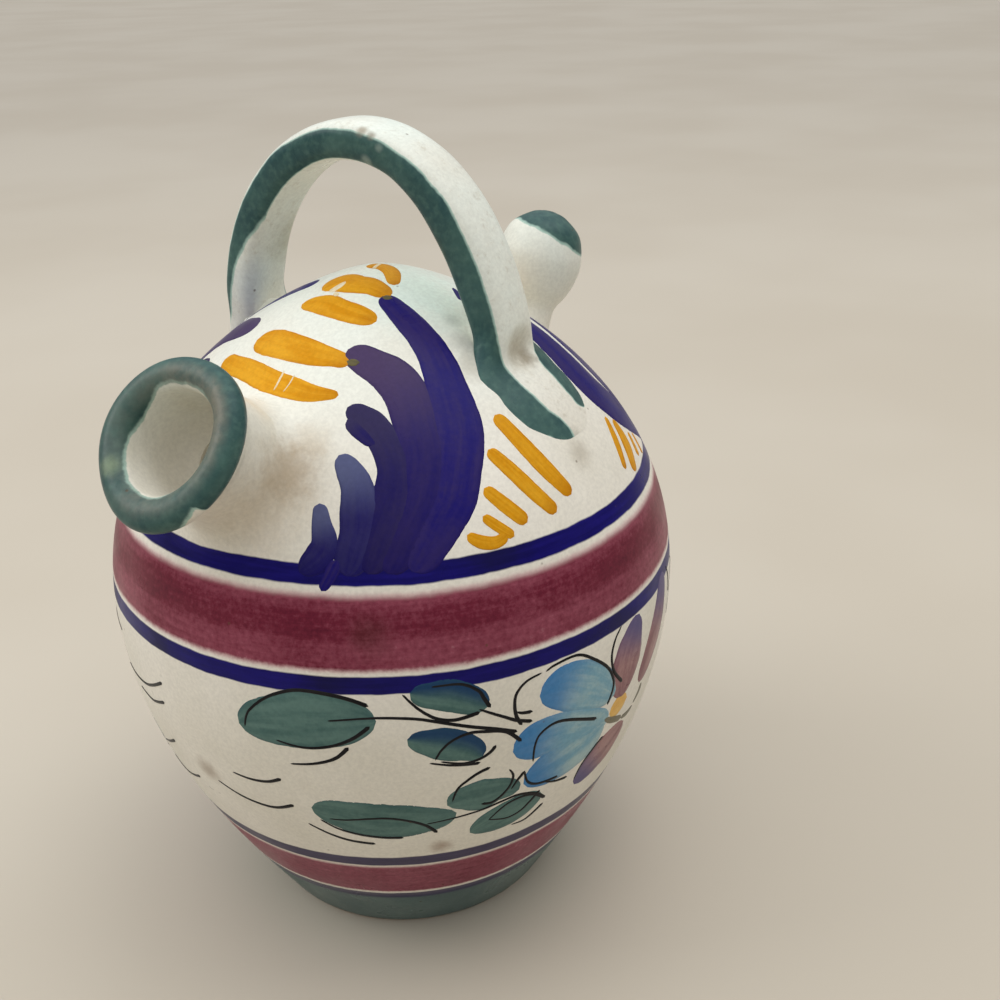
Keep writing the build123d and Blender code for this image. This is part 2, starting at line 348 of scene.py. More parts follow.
def body_material():
    """Painted body: white glaze with a green foot, wine-red bands and blue rings, all a little unsteady."""
    material, place = new_material("painted_body")
    line = height_of(place) * 1000.0 + (drift(place, 14, 1) * 2.0 + drift(place, 150, 2) * 0.7)

    # Colour grains and the marks of the brush that run round the jug
    grains = noise(place, 620, 3, 0.7)
    drag = noise(vector_calc("MULTIPLY", place, (60.0, 60.0, 900.0)), 1.0, 3, 0.55)
    broad = noise(place, 34, 3)
    gritty = line + (grains - 0.5) * 0.9

    def ring(limits, low_edge, high_edge, level=line):
        sockets = {"Height": level, "Low": limits[0], "High": limits[1]}
        return use_group(place.tree, RING, {**sockets, "Low edge": low_edge, "High edge": high_edge})["Mask"]

    def wine(mask, strength):
        load = drag * 0.24 + grains * 0.42 + broad * 0.34
        shades = add_node(place.tree, "ShaderNodeValToRGB", {"Fac": mask * (strength + (load - 0.5))})
        stops = shades.color_ramp.elements
        stops[0].color, stops[1].color = screen(226, 214, 204), screen(74, 16, 36)
        for position, tint in ((0.3, (186, 136, 142)), (0.52, (143, 72, 88)), (0.75, (107, 34, 52))):
            stops.new(position).color = screen(*tint)
        return Wire(shades.outputs["Color"])

    # Painted shade on the neck's flank and beyond the front tail's end, a painted cool light on the crown,
    # and some dirt
    colour = with_marks(place, cream_at(place), NECK_SHADE_AND_GRIME + SHOULDER_LIGHT_SHADE_AND_GRIME)

    # Green foot, with the violet line that closes it
    foot_tint = mix(span(broad, 0.3, 0.7), screen(98, 117, 113), screen(80, 101, 100))
    foot_tint = mix(span(grains, 0.35, 0.8, 0.0, 0.35), foot_tint, screen(58, 76, 78))
    colour = mix(ring(FOOT_GREEN, 0.3, 1.2), colour, foot_tint)
    violet = mix(span(drag, 0.3, 0.7), screen(36, 28, 70), screen(52, 43, 82))
    colour = mix(ring(FOOT_LINE, 1.1, 0.3) * 0.92, colour, violet)

    # Lower wine band and the thin violet line over it
    low_band = ring(LOW_BAND, 0.8, 1.4, gritty)
    colour = mix(low_band, colour, wine(low_band, 0.56))
    colour = mix(ring(LOW_LINE, 0.3, 0.35) * 0.96, colour, violet)

    # Upper wine band: a thin wash below, a dark core above it and soft fringes
    wash = ring(WINE_BAND, 1.4, 1.8, gritty)
    colour = mix(wash, colour, wine(wash, ring(WINE_CORE, 2.0, 2.6) * 0.13 + 0.61))

    # The two deep blue rings
    ink = mix(span(drag, 0.3, 0.75), screen(12, 5, 88), screen(22, 14, 106))
    ink = mix(span(broad, 0.46, 0.72, 0.0, 0.75), ink, screen(13, 11, 48))
    colour = mix(ring(LOW_RING, 0.25, 0.3) + ring(HIGH_RING, 0.3, 0.25), colour, ink)

    # Fire marks over glaze and paint alike, and bare clay on the face that stands on the ground
    colour = with_marks(place, colour, FIRE_MARKS)
    colour = mix(span(line, 0.2, 0.9, 1.0, 0.0), colour, screen(178, 150, 120))
    glazed(place, colour)
    return material


def skin(name, rings, material, loop=False, sharp=48.0, **fields):
    """Closed mesh over rings of points in millimetres. A ring of one point is a pole."""
    rings = [np.atleast_2d(np.asarray(ring, float)) for ring in rings]
    starts = np.cumsum([0] + [len(ring) for ring in rings])
    pairs = [(k, k + 1) for k in range(len(rings) - 1)] + ([(len(rings) - 1, 0)] if loop else [])
    faces = []
    for a, b in pairs:
        count = max(len(rings[a]), len(rings[b]))
        for i in range(count):
            corners = ((a, i), (a, (i + 1) % count), (b, (i + 1) % count), (b, i))
            faces.append([int(c) for c in dict.fromkeys(starts[k] + n % len(rings[k]) for k, n in corners)])
    mesh = bpy.data.meshes.new(name)
    mesh.from_pydata((np.vstack(rings) * MM).tolist(), [], faces)
    for label, values in fields.items():
        flat = np.concatenate([np.broadcast_to(v, len(ring)) for v, ring in zip(values, rings)])
        mesh.attributes.new(label, "FLOAT", "POINT").data.foreach_set("value", flat.astype(np.float32))
    form = bmesh.new()
    form.from_mesh(mesh)
    bmesh.ops.recalc_face_normals(form, faces=form.faces)
    form.to_mesh(mesh)
    form.free()
    mesh.shade_smooth()
    mesh.set_sharp_from_angle(angle=radians(sharp))
    mesh.materials.append(material)
    return in_scene(name, mesh)


def in_scene(name, data):
    """New object in the scene."""
    thing = bpy.data.objects.new(name, data)
    bpy.context.scene.collection.objects.link(thing)
    return thing


def axes_of(axis):
    """Two directions square to an axis, and the axis, each of length 1."""
    along = np.asarray(axis, float) / np.linalg.norm(axis)
    across = np.array((0.0, 1.0, 0.0)) - along[1] * along
    across /= np.linalg.norm(across)
    return across, np.cross(along, across), along


def turned(profile, root=(0, 0, 0), axis=(0, 0, 1), points=BODY_POINTS, wobble=0.0):
    """Rings of a thrown shape round an axis, from rows of radius and height, with the wobble of the hand."""
    across, up, along = axes_of(axis)
    turn = np.linspace(0, 2 * pi, points, endpoint=False)[:, None]
    sway = wobble * (np.sin(2 * turn + 0.7) + 0.6 * np.sin(3 * turn + 2.0) + 0.4 * np.sin(5 * turn + 1.1))
    rings = []
    for radius, height in profile:
        centre = np.asarray(root, float) + height * along
        spokes = (radius + sway) * (np.cos(turn) * across + np.sin(turn) * up)
        rings.append(centre if radius < 0.001 else centre + spokes)
    return rings


def place_piece(piece, *nodes):
    """Puts a finished piece in the frame, in the place of its CAD pieces."""
    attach(piece, "root")
    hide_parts(*nodes)


FOOT_EDGE = 1.6
outer_heights = np.linspace(JOINT_HEIGHT, FOOT_EDGE, 82)
belly_profile = [(0.0, FLOOR), (34.0, FLOOR), (42.0, 9.0), (46.5, 11.5)]
belly_profile += [(belly_radius_at(h) - WALL, h) for h in np.linspace(16.0, JOINT_HEIGHT, 26)]
belly_profile += [(belly_radius_at(h), h) for h in outer_heights]
belly_profile += [(50.3, 0.9), (49.7, 0.35), (48.8, 0.05), (47.6, 0.0), (0.0, 0.0)]
PAINTED_BODY = body_material()
belly = skin("belly_dressed", turned(belly_profile), PAINTED_BODY)
place_piece(belly, "belly")

# Shoulder: the upper half of the body, thrown upside down, closed at the crown and luted on the belly.
# It is pierced under the filling mouth and under the drinking spout before those are set on it.
# Glaze and painted rings run over the joint, so that no seam shows outside.
MOUTH_LEAN = radians(53.0)
MOUTH_REACH = 68.0
MOUTH_AXIS = np.array((-sin(MOUTH_LEAN), 0.0, cos(MOUTH_LEAN)))
MOUTH_ROOT = np.array((-MOUTH_REACH, 0.0, float(dome_height_at(MOUTH_REACH))))
SPOUT_TURN = -8.3
SPOUT_LEAN = radians(22.0)
SPOUT_REACH = 67.0
SPOUT_AXIS = at_turn(SPOUT_TURN, sin(SPOUT_LEAN), cos(SPOUT_LEAN))
SPOUT_ROOT = at_turn(SPOUT_TURN, SPOUT_REACH, float(dome_height_at(SPOUT_REACH)))
FILL_HOLE = 8.0
FILL_HOLE_SHIFT = (0, 5, 0)
SPOUT_BORE = 4.2
DRILL_REACH = 15.0


def drill(name, radius, root, axis, points):
    """Rod of scrap that cuts a round hole."""
    ends = [(0.0, -DRILL_REACH), (radius, -DRILL_REACH), (radius, DRILL_REACH), (0.0, DRILL_REACH)]
    return skin(name, turned(ends, root, axis, points), PAINTED_BODY)


def baked(piece):
    """Mesh of an object after its modifiers."""
    bpy.context.view_layer.update()
    return bpy.data.meshes.new_from_object(piece.evaluated_get(bpy.context.evaluated_depsgraph_get()))


def cut(piece, tools):
    """Cuts pieces of scrap out of a piece, and throws the scrap away."""
    for tool in tools:
        step = piece.modifiers.new("cut", "BOOLEAN")
        step.operation, step.object, step.solver = "DIFFERENCE", tool, "EXACT"
    done = baked(piece)
    done.name = piece.name
    piece.modifiers.clear()
    piece.data = done
    for tool in tools:
        bpy.data.objects.remove(tool)


inner_dome = dome_profile(BELLY_RADIUS - WALL, CROWN_HEIGHT - WALL - JOINT_HEIGHT, 48)[::-1]
outer_dome = dome_profile(BELLY_RADIUS, CROWN_HEIGHT - JOINT_HEIGHT, 110)
shoulder = skin("shoulder_dressed", turned([*inner_dome, *outer_dome]), PAINTED_BODY)
fill_hole = drill("fill_hole", FILL_HOLE, MOUTH_ROOT - FILL_HOLE_SHIFT, MOUTH_AXIS, 40)
spout_hole = drill("spout_hole", SPOUT_BORE, SPOUT_ROOT, SPOUT_AXIS, 32)
cut(shoulder, [fill_hole, spout_hole])
place_piece(shoulder, "shoulder")

# Seam coil: a roll of soft clay pressed over the joint of the two halves, inside the body.
# It is bare fired clay, pale and gritty, and only water reaches it.


def clay_material():
    """Bare earthenware: pale buff, sandy, without shine."""
    material, place = new_material("bare_clay")
    sand = noise(place, 700, 4, 0.7)
    colour = mix(span(sand, 0.3, 0.7), screen(205, 180, 148), screen(182, 154, 120))
    shaded(place, {"Base Color": colour, "Roughness": 0.85, "Normal": relief(sand, 0.4)})
    return material


seam_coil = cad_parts["seam_coil"]
seam_coil.data.materials.clear()
seam_coil.data.materials.append(clay_material())

# Filling mouth: a short thrown neck whose lip is rolled over into a thick round rim.
# The rim is dipped in green glaze, which runs ragged inside and under the roll.
# Use has rubbed the green grey on the crest.
MOUTH_NECK = 17.7
MOUTH_BORE = 14.3
RIM_HEIGHT = 25.0
RIM_ROLL = 4.1
RIM_POINTS = 200
RIM_WOBBLE = 0.22


def green_tint(place, thickness):
    """Green copper glaze: dark where it lies thick, thin and pale at its edge."""
    deep = mix(span(noise(place, 75, 4, 0.6), 0.3, 0.7), screen(68, 98, 93), screen(48, 77, 78))
    streaked = mix(span(noise(place, 420, 3), 0.4, 0.8, 0.0, 0.5), deep, screen(86, 117, 107))
    return mix(span(thickness, 0.0, 1.0), screen(160, 188, 176), streaked)


def rim_row(roll):
    """Radius and height of the rolled rim at an angle round the roll."""
    return MOUTH_BORE + RIM_ROLL + RIM_ROLL * cos(radians(roll)), RIM_HEIGHT + RIM_ROLL * sin(radians(roll))


def rim_spot(turn, roll):
    """Point of the rolled rim at a turn round the neck and an angle round the roll."""
    across, up, along = axes_of(MOUTH_AXIS)
    radius, height = rim_row(roll)
    return MOUTH_ROOT + radius * (cos(radians(turn)) * across + sin(radians(turn)) * up) + height * along


def rim_material():
    """White glazed neck with a ragged dip of green over the rim, rubbed grey on its crest."""
    material, place = new_material("green_rim")
    girth, dip, wear = (field(place.tree, name) for name in ("girth", "dip", "wear"))
    depth = dip + drift(place, 110, 4, 0.6) * 4.2
    stain = span(noise(place, 45, 3), 0.4, 0.75, 0.0, 0.35)
    # Painted shade on the neck's flank, with some dirt in it
    cream = with_marks(place, mix(stain, cream_at(place), screen(196, 184, 152)), NECK_SHADE_AND_GRIME)
    crest = 1.0 - span(calc("ABSOLUTE", girth + 2.0), 1.5, 5.6)
    patchy = span(noise(place, 95, 5, 0.7), 0.32, 0.6, 0.3, 1.0)
    green = green_tint(place, span(depth, 0.2, 1.8))
    green = mix(crest * wear * patchy * 0.9, green, screen(126, 123, 110))
    green = with_marks(place, green, [(rim_spot(40, 100), 4.5, 0.5, (150, 166, 130))])
    glazed(place, mix(span(depth, -0.25, 0.35), cream, green), 0.3)
    return material


def near(turn, centre, width):
    """1 at a turn, falling to 0 beside it."""
    away = (turn - centre + 180) % 360 - 180
    return np.exp(-((away / width) ** 2))


mouth_profile = [(MOUTH_NECK, h) for h in (-5.0, 0.0, 6.0, 12.0, 17.0, 18.6)]
mouth_profile += [(17.85, 19.8), (18.4, 20.9), (19.5, 21.6), (20.7, 22.0)]
mouth_profile += [rim_row(roll) for roll in range(-36, 181, 9)]
mouth_profile += [(MOUTH_BORE, h) for h in (22.5, 19.0, 15.0, 11.0)]
mouth_profile += [(14.1, 8.0), (13.4, 5.2), (12.2, 2.8), (10.8, 1.2), (12.0, -2.0), (15.5, -5.0)]
rows = np.array(mouth_profile)
girth = lengths_along(rows)
from_crest = girth[rows[:, 1].argmax()] - girth

# How far the green dip reaches outside and inside, and how worn the rim is, at each turn round the neck
turns = np.arange(RIM_POINTS) * 360 / RIM_POINTS
thin_edge = np.clip((turns - 100) / 38, 0, 1) * np.clip((142 - turns) / 4, 0, 1)
dip_outside = 10.6 - 6.0 * thin_edge + 2.2 * near(turns, 160, 16)
dip_inside = 5.0 + 3.6 * near(turns, 345, 40) - 1.8 * near(turns, 303, 22) - 1.0 * near(turns, 255, 25)
wear = np.clip(0.25 + 0.75 * near(turns, 225, 75) + 0.25 * near(turns, 95, 30), 0, 1)

# The roll is pressed out at one side and in at the other
across, up, along = axes_of(MOUTH_AXIS)
spokes = np.cos(np.radians(turns))[:, None] * across + np.sin(np.radians(turns))[:, None] * up
mouth_rings = turned(mouth_profile, MOUTH_ROOT, MOUTH_AXIS, RIM_POINTS, RIM_WOBBLE)
for number, (radius, height) in enumerate(mouth_profile):
    outer = min(max((radius - MOUTH_BORE) / (2 * RIM_ROLL), 0), 1)
    swell = (1.4 + 1.4 * outer) * near(turns, 95, 45) - (1.0 - 0.4 * outer) * near(turns, 270, 45)
    mouth_rings[number] = mouth_rings[number] + (swell * min(max((height - 16) / 7, 0), 1))[:, None] * spokes
filling_mouth = skin(
    "filling_mouth_dressed",
    mouth_rings,
    rim_material(),
    loop=True,
    girth=from_crest,
    wear=[wear] * len(mouth_profile),
    dip=[np.minimum(dip_outside - g, dip_inside + g) for g in from_crest],
)
place_piece(filling_mouth, "filling_mouth")

# Mouth luting coil: soft clay pressed round the foot of the neck and drawn out with a wet finger.
# It leaves a hollow curve from neck to shoulder under the same white glaze.


def flare_rings(root, axis, neck, start, reach):
    """Rings of clay drawn out from a neck to the shoulder in a hollow curve, and rings of its underside."""
    across, up, along = axes_of(axis)
    turn = np.linspace(0, 2 * pi, 160, endpoint=False)[:, None]
    spoke = np.cos(turn) * across + np.sin(turn) * up

    def on_dome(radius):
        spot = root + radius * spoke
        for _ in range(40):
            gap = spot[:, 2] - dome_height_at(np.hypot(spot[:, 0], spot[:, 1]))
            spot = spot - 0.7 * gap[:, None] * along
        return spot

    top = root + neck * spoke + start * along
    foot = on_dome(reach)
    slope = on_dome(reach + 0.5) - foot
    slope /= np.linalg.norm(slope, axis=1)[:, None]
    drop = np.linalg.norm(foot - top, axis=1)[:, None]
    lift, glide = top - 0.62 * drop * along, foot - 0.5 * drop * slope
    rings = []
    for t in np.linspace(0, 1, 22):
        upper = (1 - t) ** 3 * top + 3 * t * (1 - t) ** 2 * lift
        rings.append(upper + 3 * t**2 * (1 - t) * glide + t**3 * foot)
    rings[-1] = foot - 0.06 * along
    return rings, [on_dome(reach - 0.8) - 1.2 * along, on_dome(neck - 0.6) - 2.5 * along]


MOUTH_FLARE = (MOUTH_NECK + 0.05, 17.0, 29.0)
over, under = flare_rings(MOUTH_ROOT, MOUTH_AXIS, *MOUTH_FLARE)
mouth_flare = skin("mouth_luting_dressed", over + under, PAINTED_BODY, loop=True, sharp=80)
place_piece(mouth_flare, "mouth_luting_coil")

# Drinking spout: a small thrown bulb on a thin neck, pierced at the tip for a fine jet of water.
# Its tip is dipped in the same green glaze as the rim, a little aslant.
SPOUT_NECK = 8.8
SPOUT_TIP = 1.7
SPOUT_WOBBLE = 0.1
CAP_HEIGHT = 34.8
CAP_SLANT = np.array((0.16, -0.26, 0.0))
BULB = [
    (SPOUT_NECK, 9.6), (9.6, 12.2), (12.0, 16.2), (14.1, 22.2), (14.6, 28.6),
    (12.2, 37.0), (6.2, 42.1), (2.0, 43.5),
]
BULB_HOLLOW = [(SPOUT_TIP, 39.5), (6.5, 37.0), (9.3, 27.4), (6.4, 19.1), (SPOUT_BORE, 13.0)]


def through(points, count):
    """Evenly spaced rows of a smooth curve through rows of values, spaced by the first two of them."""
    points = np.asarray(points, float)
    ends = np.vstack([2 * points[0] - points[1], points, 2 * points[-1] - points[-2]])
    t = np.linspace(0, 1, 32, endpoint=False)[:, None]
    rows = []
    for p0, p1, p2, p3 in zip(ends, ends[1:], ends[2:], ends[3:]):
        cubic = (2 * p0 - 5 * p1 + 4 * p2 - p3) * t**2 + (3 * p1 - p0 - 3 * p2 + p3) * t**3
        rows.append(0.5 * (2 * p1 + (p2 - p0) * t + cubic))
    rows = np.vstack(rows + [points[-1:]])
    reach = lengths_along(rows[:, :2])
    return np.stack([np.interp(np.linspace(0, reach[-1], count), reach, column) for column in rows.T], 1)


def spout_material():
    """White glazed bulb with a ragged green cap."""
    material, place = new_material("green_tip")
    depth = field(place.tree, "climb") + drift(place, 110, 3, 0.6) * 3.4 - CAP_HEIGHT
    green = green_tint(place, span(depth, 0.1, 1.4))
    glazed(place, mix(span(depth, -0.25, 0.3), cream_at(place), green), 0.2)
    return material


spout_profile = [(SPOUT_NECK, -5.0), (SPOUT_NECK, 4.0), *through(BULB, 44)]
spout_profile += [(SPOUT_TIP, 43.2), *through(BULB_HOLLOW, 20), (SPOUT_BORE, -5.0)]
spout_rings = turned(spout_profile, SPOUT_ROOT, SPOUT_AXIS, 112, SPOUT_WOBBLE)
cap_depths = []
for (radius, height), ring in zip(spout_profile, spout_rings):
    centre = SPOUT_ROOT + height * SPOUT_AXIS
    cap_depths.append(height + (ring - centre) @ CAP_SLANT)
drinking_spout = skin("drinking_spout_dressed", spout_rings, spout_material(), loop=True, climb=cap_depths)
place_piece(drinking_spout, "drinking_spout")

# Spout luting coil: soft clay smoothed round the foot of the spout, under the white glaze.
# It is drawn out on the shoulder like the one at the mouth, only shorter.
SPOUT_FLARE = (SPOUT_NECK + 0.03, 10.0, 14.5)
over, under = flare_rings(SPOUT_ROOT, SPOUT_AXIS, *SPOUT_FLARE)
spout_flare = skin("spout_luting_dressed", over + under, PAINTED_BODY, loop=True, sharp=80)
place_piece(spout_flare, "spout_luting_coil")

# Handle: a strap of clay pulled by hand and bent over the crown, pressed on the shoulder at both ends.
# Each end is splayed with the thumb into a tail. A green brush line runs along both edges down to the tips.
ARCH_SPAN = 48.75
ARCH_RISE = 64.25
ARCH_SHIFT = 3.0
ARCH_BASE = 185.0
STRAP_WIDTH = 19.5
STRAP_THICK = 11.5

# Painted shade in the thumb dents, in the crease by the front one and at the front tail's end, and grime, all
# under the green lines, and scuffs over them: a point, a radius, a strength and a tint each
HANDLE_SHADE_AND_GRIME = [
    ((-0.5, -51.0, 193.0), 8.0, 0.6, (150, 134, 104)),
    ((3.0, -51.0, 190.5), 4.5, 0.5, (120, 104, 78)),
    ((4.0, 57.0, 196.0), 8.0, 0.5, (150, 134, 104)),
    ((-2.0, -71.0, 170.5), 6.0, 0.5, (140, 132, 116)),
    ((-8.0, 45.0, 203.0), 12.0, 0.45, (216, 228, 230)),
    ((7.0, 45.0, 218.0), 15.0, 0.55, (160, 152, 116)),
]
HANDLE_SCUFFS = [
    ((-8.6, -4.5, 253.2), 2.8, 0.8, (158, 146, 126)),
    ((-9.0, -8.0, 252.0), 2.0, 0.8, (140, 130, 112)),
    ((-9.6, -6.0, 244.6), 2.6, 0.6, (150, 164, 154)),
    ((-9.7, -11.0, 248.6), 1.8, 0.5, (146, 162, 152)),
]

# Dents of the thumb, and one small lump: a point, a radius and a depth each
THUMB_MARKS = (
    ((0.0, -51.5, 193.5), 8.0, 2.3), ((3.0, 57.0, 196.5), 9.0, 1.3), ((5.5, -51.6, 190.4), 2.0, -1.3),
)


def handle_material():
    """White glazed strap with the green line on both edges, scuffed at the top and grimy at the feet, with
    painted shade in the thumb dents and at the front tail's end.
    """
    material, place = new_material("green_edge")
    depth = field(place.tree, "line") + drift(place, 75, 4, 0.6) * 3.0
    grit = span(noise(place, 330, 4, 0.75), 0.52, 0.75, 0.0, 0.35)
    colour = mix(grit, cream_at(place), screen(176, 164, 140))
    # Painted shade in the thumb dents and at the front tail's end, with grime
    colour = with_marks(place, colour, HANDLE_SHADE_AND_GRIME)
    green = green_tint(place, span(depth, 0.0, 1.2))
    colour = mix(span(depth, -0.3, 0.25), colour, green)
    glazed(place, with_marks(place, colour, HANDLE_SCUFFS), 0.35)
    return material


def strap_rows():
    """Rows along the strap: y and z of its outer face, y and z of its inner face, its width, its splay to the
    left and to the right, the x of both green lines' borders from left to right, and how far the left line
    goes down its side. For a foot the faces are given from the axis and from the dome."""
    def foot(side, row):
        reach, rise, inner_reach, drop, *rest = row
        out_z, in_z = dome_height_at(reach) + rise, dome_height_at(inner_reach) - drop
        return (side * reach, out_z, side * inner_reach, in_z, *rest)

    front = [
        (73.4, -2.6, 72.2, 4, 13, 4, 4, -6, -3.6, 40, 9, 20),
        (71, -0.9, 69.4, 3, 15, 5, 5, -7, -2.4, 40, 9, 20),
        (68.5, 0.3, 66.4, 2.6, 16.5, 6, 5.5, -9.6, -1.6, 40, 9, 20),
        (66, 1, 63.4, 2.4, 17.5, 6.5, 6, -13.6, -3, 12, 11, 20),
        (63, 1.7, 60, 2.4, 18, 7, 6, -30, -5.6, 7.6, 30, 20),
        (59, 1.9, 55, 2.6, 18.5, 8, 6.5, -40, -7, 6.6, 40, 20),
        (54.2, 1.7, 49.2, 2.8, 19, 8.5, 7, -40, -8.2, 6.6, 40, 20),
        (51.3, 2.4, 44.6, 2.6, 19.5, 7, 5.5, -40, -8.8, 7.6, 40, 20),
        (50.6, 4.8, 40.6, 1.6, 19.5, 3, 2.2, -40, -9.6, 9.2, 40, 20),
    ]
    back = [
        (57.2, 8.5, 45.2, 1.6, 19.3, 0, 2, -40, -10.4, 9.6, 40, 3.2),
        (57.4, 4.8, 48.6, 2.6, 18.8, 0.5, 4, -40, -10.4, 8.8, 40, 1.6),
        (58.2, 2.4, 52.6, 2.8, 18, 1, 6, -40, -10.4, 7.6, 40, -2),
        (60.8, 1.4, 57.2, 2.8, 17, 1.5, 7.5, -40, -10.4, 6.8, 40, -2),
        (64.4, 0.9, 61.6, 2.6, 16, 2, 7.5, -40, -10.4, 6.8, 40, -2),
        (68, 0.4, 66, 2.4, 15, 2, 7, -40, -10.4, 7.2, 30, -2),
        (71.6, -0.4, 70.2, 2.4, 14, 2, 6, -40, -10.4, 10, 9, -2),
        (74.6, -1.6, 73.4, 2.8, 12, 2, 4, -40, -10.4, 10, 9, -2),
    ]
    arch = []
    for turn in range(-77, 78, 7):
        y, z = ARCH_SPAN * sin(radians(turn)), ARCH_RISE * cos(radians(turn))
        normal = np.array((y / ARCH_SPAN**2, z / ARCH_RISE**2))
        normal /= np.linalg.norm(normal)
        stout = 1.4 * float(near(turn, 64, 22))
        out_y, out_z = np.array((y + ARCH_SHIFT, z + ARCH_BASE)) + (STRAP_THICK / 2 + stout) * normal
        depth = STRAP_THICK + stout + 1.9 * float(near(turn, -50, 18)) + 1.4 * float(near(turn, -66, 13))
        in_y, in_z = out_y - depth * normal[0], out_z - depth * normal[1]
        kept = 20.0 if turn < 34 else 4.6 + (77 - turn) * 0.2
        arch.append((out_y, out_z, in_y, in_z, STRAP_WIDTH, 0.0, 0.0, -40.0, -10.5, 10.5, 40.0, kept))
    return [foot(-1, row) for row in front] + arch + [foot(1, row) for row in back]


around = np.linspace(0, 2 * pi, 84, endpoint=False)
side = np.sign(np.cos(around)) * np.abs(np.cos(around)) ** 0.6
face = np.sign(np.sin(around)) * np.abs(np.sin(around)) ** 0.66
rings, lines = [], []
for row in through(strap_rows(), 260):
    out_y, out_z, in_y, in_z, width, left_splay, right_splay = row[:7]
    left_out, left_in, right_in, right_out, kept = row[7:]
    lumps = 0.14 * sin(out_y * 0.21 + 1.3) + 0.1 * sin(out_y * 0.47)
    x = (width / 2 + lumps) * side
    x = x + np.where(side < 0, -left_splay, right_splay) * np.clip(0.9 - face, 0, 1) ** 1.2
    y = (out_y + in_y) / 2 + face * (out_y - in_y) / 2
    z = (out_z + in_z) / 2 + face * (out_z - in_z) / 2
    hug = np.clip(1 - (out_z - dome_height_at(abs(out_y))) / 8, 0, 1)
    z = z + hug * (dome_height_at(np.hypot(x, y)) - dome_height_at(np.abs(y)))
    ring = np.stack([x, y, z], 1)
    for spot, radius, push in THUMB_MARKS:
        close = np.clip(1 - (np.linalg.norm(ring - spot, axis=1) / radius) ** 2, 0, 1) ** 1.5
        ring[:, 1] -= np.sign(spot[1]) * push * close * (face > -0.2)
    down_side = 0.9 * (1 - face) / 2 * np.hypot(out_y - in_y, out_z - in_z)
    left = np.minimum(np.minimum(x - left_out, left_in - x + down_side), kept - down_side)
    right = np.minimum(x - right_in + down_side, right_out - x)
    under = np.abs(x) - width / 2 + 0.8 + 12 * np.clip(face + 0.9, 0, 1)
    rings.append(ring)
    lines.append(np.minimum(np.maximum(left, right), under))
strap = [rings[0].mean(0), *rings, rings[-1].mean(0)]
handle = skin("handle_dressed", strap, handle_material(), sharp=80, line=[-3.0, *lines, -3.0])
place_piece(handle, "handle")

# Handle foot coils: soft clay smoothed with a finger into the corner under each leg of the handle.
# It fills the corner to a hollow curve under the white glaze and runs out to nothing at its edges.
FILLET_REACH = 10.3
FILLET_SIZE = 7.0
LEG_TURN = radians(78)


def foot_fillet(name, side):
    """Clay in the corner between a leg's inner face and the shoulder."""
    leg = ARCH_SHIFT + side * (ARCH_SPAN * sin(LEG_TURN) - STRAP_THICK / 2)
    start = leg + side * 1.6
    rings = []
    for x in np.linspace(-FILLET_REACH, FILLET_REACH, 41):
        size = FILLET_SIZE * max(1 - (x / FILLET_REACH) ** 2, 0.0) ** 1.5
        low = start - side * (1.4 * size + 1.0)
        ground = float(dome_height_at(np.hypot(x, start)))
        top = np.array((x, start, ground + size - 0.5))
        corner = np.array((x, start - side * size * 0.2, ground + 0.2 * size - 0.5))
        foot = np.array((x, low, float(dome_height_at(np.hypot(x, low))) - 0.1))
        foot[2] -= 0.5 * max(1.0 - size, 0.0)
        t = np.linspace(0, 1, 16)[:, None]
        curve = (1 - t) ** 2 * top + 2 * t * (1 - t) * corner + t**2 * foot
        under = [foot + (0, side * 1.0, -1.5), top + (0, side * 1.5, -size - 1.5), top + (0, side * 1.5, 0)]
        rings.append(np.vstack([curve, under]))
    return skin(name, [rings[0].mean(0), *rings, rings[-1].mean(0)], PAINTED_BODY, sharp=70)


for name, side in (("handle_foot_coil_front", -1), ("handle_foot_coil_back", 1)):
    place_piece(foot_fillet(name + "_dressed", side), name)

# Brushwork: the leaves, ladders, flowers and stems painted on the raw glaze with a pointed brush.
# Each stroke is a thin film that has sunk into the glaze, with rounded ends and the streaks of its hairs.
# The next three are metres: where a point is pressed from, and how deep a film and its edge lie.
PRESS_FROM = 0.002
FILM_DEPTH = 0.0002
FILM_EDGE = 0.00001


